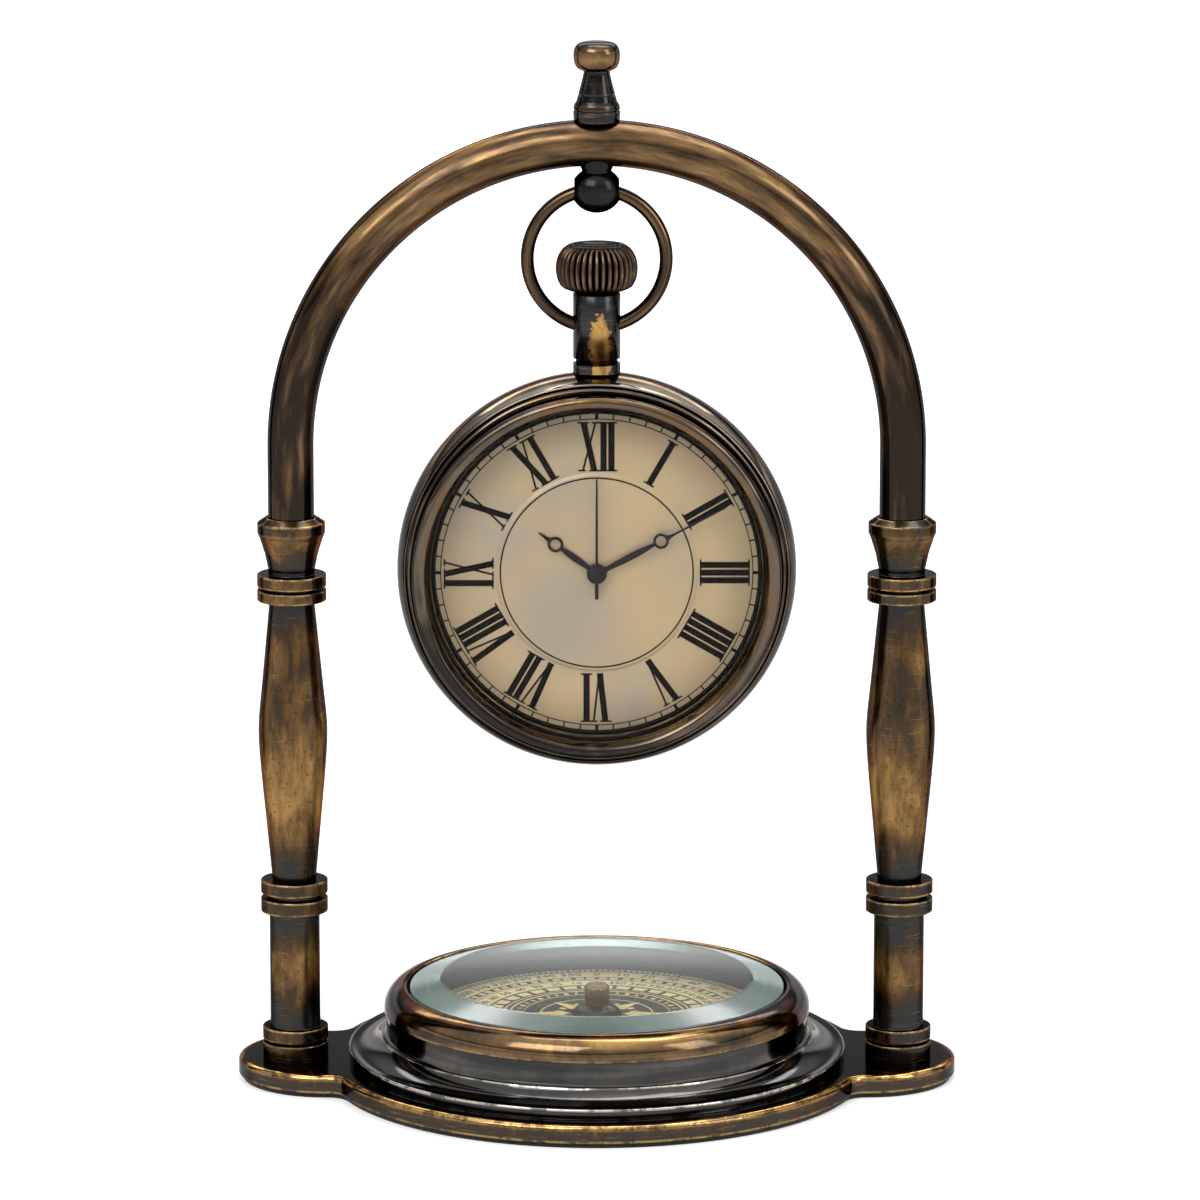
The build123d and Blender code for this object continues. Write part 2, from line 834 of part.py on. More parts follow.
# Case middle: a rounded band with a shelf inside, drilled for the neck
with BuildPart() as case_band:
    with BuildSketch(turning_plane):
        with BuildLine():
            TangentArc(
                (case_radius, case_belly),
                (case_front_radius, dial_front - case_front_reach),
                tangent=(0, -1),
            )
            TangentArc(
                (case_radius, case_belly),
                (case_back_radius, case_back),
                tangent=(0, 1),
            )
            Polyline(
                (case_back_radius, case_back),
                (case_bore_radius, case_back),
                (case_bore_radius, shelf_back),
                (shelf_radius, shelf_back),
                (shelf_radius, dial_back),
                (bezel_seat_radius, dial_back),
                (bezel_seat_radius, dial_front - case_front_reach),
                (case_front_radius, dial_front - case_front_reach),
            )
        make_face()
    revolve(axis=watch_axis)
    with BuildSketch(Plane.XY.offset(watch_centre + case_bore_radius - seat_gap)):
        Circle(spigot_bore_radius)
    extrude(amount=case_radius, mode=Mode.SUBTRACT)
save(case_band.part, "case_band")

# Bezel: a small bead, then a wide round roll down to the glass
with BuildPart() as front_bezel:
    with BuildSketch(turning_plane):
        with BuildLine():
            Polyline(
                (bezel_radius, dial_back),
                (bezel_radius, dial_front - bead_foot_reach),
                (bead_radius, dial_front - bead_reach),
                (bead_foot_radius, dial_front - bead_foot_reach),
                (bulge_side_radius, dial_front - bulge_side_reach),
                (bulge_crest_radius, dial_front - bulge_crest_reach),
                (bezel_lip_radius, dial_front - bezel_lip_reach),
                (bezel_lip_radius, crystal_front),
                (bezel_bore_radius, crystal_front),
                (bezel_bore_radius, dial_back),
                close=True,
            )
        make_face()
    revolve(axis=watch_axis)
save(front_bezel.part, "front_bezel")

# Crystal: a flat glass that the bezel's lip holds down
with BuildPart() as crystal:
    with BuildSketch(front_plane(crystal_back)):
        Circle(crystal_radius)
    extrude(amount=crystal_thickness)
save(crystal.part, "crystal")

# Sloping ring between the glass and the dial
with BuildPart() as rehaut_ring:
    with BuildSketch(turning_plane):
        with BuildLine():
            Polyline(
                (crystal_radius, dial_front),
                (crystal_radius, crystal_back),
                (bezel_lip_radius, crystal_back),
                (rehaut_low_radius, dial_front),
                close=True,
            )
        make_face()
    revolve(axis=watch_axis)
save(rehaut_ring.part, "rehaut_ring")

# Dial: a thin disc with a raised middle
with BuildPart() as dial:
    with BuildSketch(turning_plane):
        with BuildLine():
            Polyline(
                (dial_hole_radius, dial_back),
                (dial_hole_radius, dial_front - dial_centre_rise),
                (dial_centre_radius, dial_front - dial_centre_rise),
                (dial_centre_radius, dial_front),
                (crystal_radius, dial_front),
                (crystal_radius, dial_back),
                close=True,
            )
        make_face()
    revolve(axis=watch_axis)
save(dial.part, "dial")

# Back cover: a domed shell with a skirt that snaps into the case
with BuildPart() as back_cover:
    with BuildSketch(turning_plane):
        with BuildLine():
            Polyline(
                (case_back_radius, case_back),
                (cover_side_radius, case_back + cover_side_depth),
                (cover_shoulder_radius, case_back + cover_shoulder_depth),
                (0, case_back + cover_dome_depth),
                (0, case_back + cover_inside_depth),
                (cover_floor_radius, case_back + cover_inside_depth),
                (cover_inner_radius, case_back + cover_side_depth),
                (cover_inner_radius, case_back - cover_skirt_length),
                (cover_skirt_radius, case_back - cover_skirt_length),
                (cover_skirt_radius, case_back),
                close=True,
            )
        make_face()
    revolve(axis=watch_axis)
save(back_cover.part, "back_cover")


def eyed_hand(length, eye_distance, bore_radius):
    """A tapered hand with an open eye, pointing up, as a sketch."""
    with BuildSketch() as outline:
        with BuildLine():
            Polyline(
                (-hand_root_width / 2, hand_hub_radius / 2),
                (-hand_belly_width / 2, eye_distance / 2),
                (-hand_root_width / 2, eye_distance),
                (-hand_tip_width / 2, length),
                (hand_tip_width / 2, length),
                (hand_root_width / 2, eye_distance),
                (hand_belly_width / 2, eye_distance / 2),
                (hand_root_width / 2, hand_hub_radius / 2),
                close=True,
            )
        make_face()
        with Locations((0, eye_distance)):
            Circle(eye_radius)
            Circle(eye_hole_radius, mode=Mode.SUBTRACT)
        Circle(hand_hub_radius)
        Circle(bore_radius, mode=Mode.SUBTRACT)
    return outline.sketch


# Hands, each on its own pipe or arbor
with BuildPart() as hour_hand:
    with BuildSketch(front_plane(hour_hand_front + hand_thickness, hour_hand_angle)):
        add(eyed_hand(hour_hand_length, hour_eye_distance, hour_pipe_radius + seat_gap))
    extrude(amount=hand_thickness)
save(hour_hand.part, "hour_hand")

with BuildPart() as minute_hand:
    with BuildSketch(front_plane(minute_hand_front + hand_thickness, minute_hand_angle)):
        add(eyed_hand(minute_hand_length, minute_eye_distance, minute_pipe_radius + seat_gap))
    extrude(amount=hand_thickness)
save(minute_hand.part, "minute_hand")

with BuildPart() as second_hand:
    with BuildSketch(front_plane(second_hand_front + hand_thickness)):
        with Locations((0, (second_hand_length - second_tail_length) / 2)):
            Rectangle(second_hand_width, second_hand_length + second_tail_length)
        Circle(second_hub_radius)
        Circle(second_arbor_radius + seat_gap, mode=Mode.SUBTRACT)
    extrude(amount=hand_thickness)
save(second_hand.part, "second_hand")

# Movement tray: open at the back, with a wall between the gears and the cell
cell_height = -tray_inside / 2 + cell_lift + cell_radius
bay_wall_top = -bay_wall_height
wheel_shift = gear_distance
setting_shift = 2 * gear_distance

with BuildPart() as movement_tray:
    with BuildSketch(front_plane(tray_back)):
        RectangleRounded(tray_size, tray_size, tray_corner)
    extrude(amount=tray_depth)
    with BuildSketch(front_plane(tray_back)):
        RectangleRounded(tray_inside, tray_inside, tray_corner - tray_wall)
        with Locations((0, bay_wall_top - tray_wall / 2)):
            Rectangle(tray_inside, tray_wall, mode=Mode.SUBTRACT)
    extrude(amount=tray_depth - tray_wall, mode=Mode.SUBTRACT)
    with BuildSketch(front_plane(tray_floor)):
        Circle(dial_hole_radius)
    extrude(amount=tray_wall, mode=Mode.SUBTRACT)
    with BuildSketch(front_plane(minute_wheel_back + gear_float)):
        with Locations((0, wheel_shift)):
            Circle(wheel_post_radius)
    extrude(amount=minute_wheel_back + gear_float - tray_floor)
    with BuildSketch(front_plane(tray_floor)):
        with Locations((0, setting_shift)):
            Circle(setting_bore_radius)
    extrude(amount=arbor_pivot_depth + running_gap, mode=Mode.SUBTRACT)
save(movement_tray.part, "movement_tray")

# Lid over the gears, with a bearing for the seconds arbor
lid_width = tray_inside - 2 * lid_gap
lid_low = bay_wall_top + lid_gap

with BuildPart() as movement_lid:
    with BuildSketch(front_plane(tray_back)):
        RectangleRounded(lid_width, lid_width, tray_corner - tray_wall - lid_gap)
        with Locations((0, lid_low)):
            Rectangle(tray_size, tray_size, align=(Align.CENTER, Align.MAX), mode=Mode.SUBTRACT)
    extrude(amount=lid_thickness)
    with BuildSketch(front_plane(lid_front)):
        Circle(lid_boss_radius)
    extrude(amount=lid_boss_height)
    with BuildSketch(front_plane(lid_front + lid_thickness / 2)):
        Circle(minute_bore_radius)
    extrude(amount=lid_boss_height + lid_thickness / 2, mode=Mode.SUBTRACT)
    with BuildSketch(front_plane(tray_back)):
        with Locations((0, setting_shift)):
            Circle(setting_bore_radius)
    extrude(amount=lid_thickness, mode=Mode.SUBTRACT)
save(movement_lid.part, "movement_lid")

# The AA cell lies across the bottom of the tray, between two contacts
cell_depth = tray_floor + cell_floor_gap + cell_radius
cell_left = -(cell_length + cell_nub_length) / 2

with BuildPart() as battery:
    with BuildSketch(Plane.YZ.offset(cell_left)):
        with Locations((cell_depth, watch_centre + cell_height)):
            Circle(cell_radius)
    extrude(amount=cell_length)
    with BuildSketch(Plane.YZ.offset(cell_left + cell_length)):
        with Locations((cell_depth, watch_centre + cell_height)):
            Circle(cell_nub_radius)
    extrude(amount=cell_nub_length)
save(battery.part, "battery")

with BuildPart() as battery_contacts:
    for side in (-1, 1):
        contact_face = side * (tray_inside / 2 - contact_thickness - seat_gap)
        bump_height = abs(contact_face) + cell_left - seat_gap
        with BuildSketch(Plane.YZ.offset(contact_face)):
            with Locations((cell_depth, watch_centre + cell_height)):
                Rectangle(2 * contact_half_width, 2 * contact_half_width)
        extrude(amount=side * contact_thickness)
        with BuildSketch(Plane.YZ.offset(contact_face)):
            with Locations((cell_depth, watch_centre + cell_height)):
                Circle(contact_bump_radius)
        extrude(amount=-side * bump_height)
save(battery_contacts.part, "battery_contacts")

# Circuit board on the tray's floor, and the coil that lies on it
board_width = board_left - board_right
board_middle = -(board_left + board_right) / 2
board_centre_height = (board_high - board_low) / 2

with BuildPart() as circuit_board:
    with BuildSketch(front_plane(tray_floor + board_thickness)):
        with Locations((board_middle, board_centre_height)):
            Rectangle(board_width, board_high + board_low)
    extrude(amount=board_thickness)
save(circuit_board.part, "circuit_board")

with BuildPart() as drive_coil:
    coil_front = tray_floor + board_thickness
    coil_plane = Plane(
        origin=(board_middle, coil_front + coil_cheek / 2, watch_centre + board_centre_height),
        x_dir=(1, 0, 0),
        z_dir=(0, 0, 1),
    )
    with BuildSketch(coil_plane.offset(-coil_length / 2)):
        Circle(coil_radius)
    extrude(amount=coil_length)
    for cheek_start in (-coil_length / 2, coil_length / 2 - coil_cheek_thickness):
        with BuildSketch(coil_plane.offset(cheek_start)):
            Rectangle(coil_cheek, coil_cheek)
        extrude(amount=coil_cheek_thickness)
save(drive_coil.part, "drive_coil")

# Motion work. Angles are clockwise from straight up, seen from the front.
half_tooth_of_wheel = pi / minute_wheel_teeth
half_tooth_of_hour = pi / hour_wheel_teeth

with BuildPart() as minute_pipe:
    with BuildSketch(front_plane(minute_wheel_back)):
        with BuildLine():
            Polyline(*gear_outline(cannon_teeth, 0), close=True)
        make_face()
    extrude(amount=gear_thickness)
    with BuildSketch(front_plane(minute_wheel_front)):
        Circle(minute_pipe_radius)
    extrude(amount=minute_wheel_front - minute_hand_front)
    with BuildSketch(front_plane(minute_wheel_back)):
        Circle(minute_bore_radius)
    extrude(amount=minute_wheel_back - minute_hand_front, mode=Mode.SUBTRACT)
save(minute_pipe.part, "minute_pipe")

with BuildPart() as hour_wheel:
    with BuildSketch(front_plane(hour_wheel_back)):
        with BuildLine():
            Polyline(*gear_outline(hour_wheel_teeth, half_tooth_of_hour), close=True)
        make_face()
    extrude(amount=gear_thickness)
    with BuildSketch(front_plane(hour_wheel_front)):
        Circle(hour_pipe_radius)
    extrude(amount=hour_wheel_front - hour_hand_front)
    with BuildSketch(front_plane(hour_wheel_back)):
        Circle(hour_bore_radius)
    extrude(amount=hour_wheel_back - hour_hand_front, mode=Mode.SUBTRACT)
save(hour_wheel.part, "hour_wheel")

with BuildPart() as minute_wheel:
    with BuildSketch(front_plane(minute_wheel_back, shift=wheel_shift)):
        with BuildLine():
            Polyline(*gear_outline(minute_wheel_teeth, half_tooth_of_wheel), close=True)
        make_face()
    extrude(amount=gear_thickness)
    with BuildSketch(front_plane(minute_wheel_front, shift=wheel_shift)):
        with BuildLine():
            Polyline(*gear_outline(minute_pinion_teeth, 0), close=True)
        make_face()
    extrude(amount=minute_wheel_front - hour_wheel_front)
    with BuildSketch(front_plane(minute_wheel_back, shift=wheel_shift)):
        Circle(wheel_bore_radius)
    extrude(amount=minute_wheel_back - hour_wheel_front, mode=Mode.SUBTRACT)
save(minute_wheel.part, "minute_wheel")

with BuildPart() as second_arbor:
    arbor_back = lid_front + lid_thickness / 2 - running_gap
    with BuildSketch(front_plane(arbor_back)):
        Circle(second_arbor_radius)
    extrude(amount=arbor_back - second_hand_front)
save(second_arbor.part, "second_arbor")

# Setting knob behind the lid, its arbor and the pinion that drives the wheel
setting_knob_front = tray_back + setting_knob_gap

with BuildPart() as setting_knob:
    with BuildSketch(front_plane(setting_knob_front + setting_knob_height, shift=setting_shift)):
        with BuildLine():
            Polyline(
                *fluted_outline(setting_knob_radius, setting_knob_grips, setting_knob_grip_share),
                close=True,
            )
        make_face()
    extrude(amount=setting_knob_height)
    with BuildSketch(front_plane(setting_knob_front, shift=setting_shift)):
        Circle(setting_arbor_radius)
    extrude(amount=setting_knob_front - tray_floor + arbor_pivot_depth)
    with BuildSketch(front_plane(minute_wheel_back, shift=setting_shift)):
        with BuildLine():
            Polyline(*gear_outline(cannon_teeth, 0), close=True)
        make_face()
    extrude(amount=gear_thickness)
save(setting_knob.part, "setting_knob")

# Compass bowl: a flange, a cove and a wall, tapped from below
with BuildPart() as compass_bowl:
    with BuildSketch(turning_profile(0)):
        with BuildLine():
            Polyline(
                (0, bowl_floor_top),
                (0, plate_top),
                (bowl_flange_radius, plate_top),
                (bowl_flange_radius, plate_top + bowl_flange_height),
                (bowl_hollow_radius, plate_top + bowl_hollow_height),
                (bowl_cove_radius, plate_top + bowl_cove_height),
                (bowl_radius, plate_top + bowl_cove_height + bowl_cove_lip),
                (bowl_radius, bowl_top),
                (bowl_bore_radius, bowl_top),
                (bowl_bore_radius, bowl_floor_top),
                close=True,
            )
        make_face()
    revolve(axis=Axis.Z)
    with BuildSketch(Plane.XY.offset(plate_top)):
        with Locations(*compass_screw_places):
            Circle(compass_screw_radius + seat_gap)
    extrude(amount=compass_screw_bite + screw_tip_gap, mode=Mode.SUBTRACT)
save(compass_bowl.part, "compass_bowl")

compass_head_depth = compass_screw_head_radius - compass_screw_radius

with BuildPart() as compass_screws:
    for side in (-1, 1):
        with BuildSketch(turning_profile(side * compass_screw_spread)):
            with BuildLine():
                Polyline(
                    (0, screw_face),
                    (compass_screw_head_radius - screw_head_sink, screw_face),
                    (compass_screw_radius, screw_face + compass_head_depth - screw_head_sink),
                    (compass_screw_radius, plate_top + compass_screw_bite),
                    (0, plate_top + compass_screw_bite),
                    close=True,
                )
            make_face()
        revolve(axis=upright(side * compass_screw_spread))
save(compass_screws.part, "compass_screws")

# Ring on top of the bowl wall that the glass rests on
with BuildPart() as compass_seat_ring:
    with BuildSketch(Plane.XY.offset(bowl_top)):
        Circle(seat_ring_radius)
        Circle(seat_ring_inner_radius, mode=Mode.SUBTRACT)
    extrude(amount=seat_ring_height)
save(compass_seat_ring.part, "compass_seat_ring")

# Thick glass with a wide bevel
with BuildPart() as compass_glass:
    with BuildSketch(turning_profile(0)):
        with BuildLine():
            Polyline(
                (0, glass_base),
                (glass_radius, glass_base),
                (glass_radius, glass_base + glass_rim_height),
                (glass_flat_radius, glass_base + glass_height),
                (0, glass_base + glass_height),
                close=True,
            )
        make_face()
    revolve(axis=Axis.Z)
save(compass_glass.part, "compass_glass")

# Rounded ring over the seat ring and round the glass
with BuildPart() as compass_bezel:
    with BuildSketch(turning_profile(0)):
        with BuildLine():
            Polyline(
                (compass_bezel_radius, bowl_top + compass_bezel_foot),
                (compass_bezel_side_radius, bowl_top + compass_bezel_side_height),
                (compass_bezel_top_radius, compass_bezel_top),
                (glass_radius + glass_rim_gap, compass_bezel_top),
                (glass_radius + glass_rim_gap, glass_base),
                (seat_ring_radius + bezel_gap, glass_base),
                (seat_ring_radius + bezel_gap, bowl_top),
                (bowl_radius, bowl_top),
                close=True,
            )
        make_face()
    revolve(axis=Axis.Z)
save(compass_bezel.part, "compass_bezel")

# Pivot pin in the bowl's floor
with BuildPart() as compass_pivot:
    with BuildSketch(turning_profile(0)):
        with BuildLine():
            Polyline(
                (0, bowl_floor_top),
                (pivot_foot_radius, bowl_floor_top),
                (pivot_foot_radius, bowl_floor_top + pivot_foot_height),
                (pivot_radius, bowl_floor_top + pivot_foot_height),
                (pivot_radius, pivot_top - pivot_tip_height),
                (pivot_tip_radius, pivot_top),
                (0, pivot_top),
                close=True,
            )
        make_face()
    revolve(axis=Axis.Z)
save(compass_pivot.part, "compass_pivot")

# Card, its boss and its cap turn together on the pivot
with BuildPart() as compass_card:
    with BuildSketch(Plane.XY.offset(card_base)):
        Circle(card_radius)
        Circle(pivot_radius + card_bore_gap, mode=Mode.SUBTRACT)
    extrude(amount=card_thickness)
save(compass_card.part, "compass_card")

with BuildPart() as compass_hub:
    with BuildSketch(turning_profile(0)):
        with BuildLine():
            Polyline(
                (compass_hub_radius, card_top),
                (compass_hub_shoulder_radius, card_top + compass_hub_shoulder_height),
                (compass_cap_radius, compass_hub_top),
                (pivot_radius + card_bore_gap, compass_hub_top),
                (pivot_radius + card_bore_gap, card_top),
                close=True,
            )
        make_face()
    revolve(axis=Axis.Z)
save(compass_hub.part, "compass_hub")

with BuildPart() as compass_cap:
    with BuildSketch(turning_profile(0)):
        with BuildLine():
            Polyline(
                (0, compass_cap_top),
                (0, compass_cap_top - compass_cap_roof),
                (pivot_radius + running_gap, compass_cap_top - compass_cap_roof),
                (pivot_radius + running_gap, compass_hub_top),
                (compass_cap_radius, compass_hub_top),
                (compass_cap_radius, compass_cap_top - compass_cap_edge),
                (compass_cap_radius - compass_cap_edge, compass_cap_top),
                close=True,
            )
        make_face()
    revolve(axis=Axis.Z)
save(compass_cap.part, "compass_cap")

with BuildPart() as compass_magnets:
    with BuildSketch(Plane.XY.offset(card_base - magnet_height)):
        with Locations((-magnet_spread, 0), (magnet_spread, 0)):
            Rectangle(magnet_width, magnet_length)
    extrude(amount=magnet_height)
save(compass_magnets.part, "compass_magnets")
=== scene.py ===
from functools import partial
from math import asin, atan2, ceil, cos, pi, radians, sin, sqrt, tan

import bmesh
import bpy
from mathutils import Matrix, Vector


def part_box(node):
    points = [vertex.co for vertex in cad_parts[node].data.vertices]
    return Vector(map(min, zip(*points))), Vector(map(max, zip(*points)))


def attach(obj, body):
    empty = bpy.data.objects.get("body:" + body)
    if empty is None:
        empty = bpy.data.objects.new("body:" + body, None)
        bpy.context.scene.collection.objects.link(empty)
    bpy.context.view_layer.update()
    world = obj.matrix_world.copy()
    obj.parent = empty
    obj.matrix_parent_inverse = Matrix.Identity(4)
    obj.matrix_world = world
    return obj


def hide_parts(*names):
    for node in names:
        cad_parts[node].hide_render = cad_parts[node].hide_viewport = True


bl_info = {
    "name": "Desk Clock Dressing",
    "version": (1, 0, 0),
    "blender": (4, 5, 0),
    "location": "3D View > Sidebar > Desk Clock",
    "description": "Shapes and finishes for a hanging watch in an arch with a compass",
    "category": "Object",
}

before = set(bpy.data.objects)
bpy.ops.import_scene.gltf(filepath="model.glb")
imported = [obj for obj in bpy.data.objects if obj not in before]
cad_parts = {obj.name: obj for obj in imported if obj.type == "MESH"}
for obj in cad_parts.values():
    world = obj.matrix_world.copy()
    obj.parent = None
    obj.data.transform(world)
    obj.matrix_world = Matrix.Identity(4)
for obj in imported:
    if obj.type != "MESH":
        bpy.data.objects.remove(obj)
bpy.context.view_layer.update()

MM = 0.001


def linear(code, alpha=1.0):
    """An sRGB hex colour such as #b08d57 as the linear colour that Blender works in."""
    parts = [int(code[i : i + 2], 16) / 255 for i in (1, 3, 5)]
    return tuple(p / 12.92 if p <= 0.04045 else ((p + 0.055) / 1.055) ** 2.4 for p in parts) + (alpha,)


def as_colour(tint):
    """A hex colour, or a setting's colour, as plain linear numbers."""
    return linear(tint) if isinstance(tint, str) else tuple(tint)


def per_mm(size):
    """The scale of a pattern whose features are this many millimetres across."""
    return 1 / (size * MM)


def length(name, description, millimetres):
    return bpy.props.FloatProperty(
        name=name, description=description, default=millimetres * MM, min=0, unit="LENGTH", precision=5
    )


def colour(name, description, code):
    return bpy.props.FloatVectorProperty(
        name=name, description=description, default=linear(code), size=4, subtype="COLOR", min=0, max=1
    )


def count(name, description, number):
    return bpy.props.IntProperty(name=name, description=description, default=number, min=1)


def node_middle(node, axis):
    """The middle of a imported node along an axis, in millimetres."""
    low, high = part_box(node)
    return (low[axis] / MM + high[axis] / MM) / 2


WATCH_CENTRE = node_middle("case_band", 2)
COLUMN_SPREAD = node_middle("right_column_foot", 0)


class ClockStand(bpy.types.PropertyGroup):
    rim_rounding: length("Rim rounding", "Radius of the turned rims' edges", 0.22)
    plate_rounding: length("Plate edge rounding", "Radius of the base plate's worn top edge", 1.1)
    rod_radius: length("Arch rod radius", "Radius of the bent rod", 5.0)
    turned_sides: count("Turned sides", "Faces round each turned piece", 96)
    gunmetal: colour("Gunmetal", "The darkest patina", "#2d2e2d")
    umber: colour("Umber", "Dark brown patina", "#3f3122")
    bronze: colour("Bronze", "Middle patina", "#644b2c")
    gold: colour("Rubbed brass", "Where hands have rubbed the patina off", "#8e6e40")


class ClockWatch(bpy.types.PropertyGroup):
    flutes: count("Crown flutes", "Ridges round the winding crown", 36)
    flute_depth: length("Flute depth", "How deep the valleys between the ridges are", 0.75)
    numeral_foot: length("Numeral foot", "Radius where the hour numerals start", 22.2)
    numeral_head: length("Numeral head", "Radius where the hour numerals end", 33.0)
    track_radius: length("Minute track", "Radius of the minute track's inner line", 33.65)
    dial: colour("Dial", "Lacquered dial", "#9f8868")
    dial_grey: colour("Dial, grey patches", "Where the dial has dulled", "#8c8072")
    ink: colour("Print", "Printing ink on the dial", "#121010")
    hands: colour("Hands", "Blackened steel hands", "#191616")


class ClockCompass(bpy.types.PropertyGroup):
    card: colour("Card", "Paper of the compass card", "#cdb78e")
    card_print: colour("Card print", "Ink of the scales", "#26211c")
    card_centre: colour("Card centre", "Dark middle of the card", "#232326")
    glass_edge: colour("Glass edge", "Tint of the ground bevel", "#9cb9ae")


class ClockStage(bpy.types.PropertyGroup):
    camera_distance: length("Camera distance", "From the clock's middle to the camera", 1525)
    camera_height: length("Camera height", "Above the floor", 424)
    aim_height: length("Aim height", "Height of the point that the camera looks at", 106.4)
    aim_side: length("Aim to the right", "How far right of the middle the camera looks", 0.7)
    lens: bpy.props.FloatProperty(name="Lens", description="Focal length", default=215.9, unit="CAMERA")
    white: colour("Background", "Floor and backdrop", "#ffffff")


SETTINGS = {
    "clock_stand": ClockStand,
    "clock_watch": ClockWatch,
    "clock_compass": ClockCompass,
    "clock_stage": ClockStage,
}


def add_node(tree, kind, links=(), out=0, stops=None, **settings):
    """Adds a node and gives one of its outputs.

    Links lists its first sockets' values, or maps sockets to values. A value may be another output.
    """
    node = tree.nodes.new(kind)
    for setting, value in settings.items():
        setattr(node, setting, value)
    for socket, value in links.items() if isinstance(links, dict) else enumerate(links):
        if isinstance(value, bpy.types.NodeSocket):
            tree.links.new(value, node.inputs[socket])
        else:
            node.inputs[socket].default_value = value
    if stops:
        ramp = node.color_ramp.elements
        ramp[0].position, ramp[0].color = stops[0]
        ramp[1].position, ramp[1].color = stops[-1]
        for position, tint in stops[1:-1]:
            ramp.new(position).color = tint
    return node.outputs[out] if node.outputs else node


def new_material(name):
    """An empty material, and the function that adds nodes to it."""
    material = bpy.data.materials.new(name)
    material.use_nodes = True
    material.node_tree.nodes.clear()
    return material, partial(add_node, material.node_tree)


def surface(material, add, sockets):
    """Ends a material in one principled surface."""
    add("ShaderNodeOutputMaterial", (add("ShaderNodeBsdfPrincipled", sockets),))
    return material


# Noise lies mostly between these levels
MOST = (0.3, 0.7)
MARK_DEPTH = 0.02 * MM
# A mix of two colours, and its output
OF_COLOURS = {"data_type": "RGBA", "out": 2}


def even_stops(tones):
    """A ramp's stops, at even steps through these tones."""
    last = len(tones) - 1
    return [(0.05 + 0.9 * i / last, as_colour(tone)) for i, tone in enumerate(tones)]


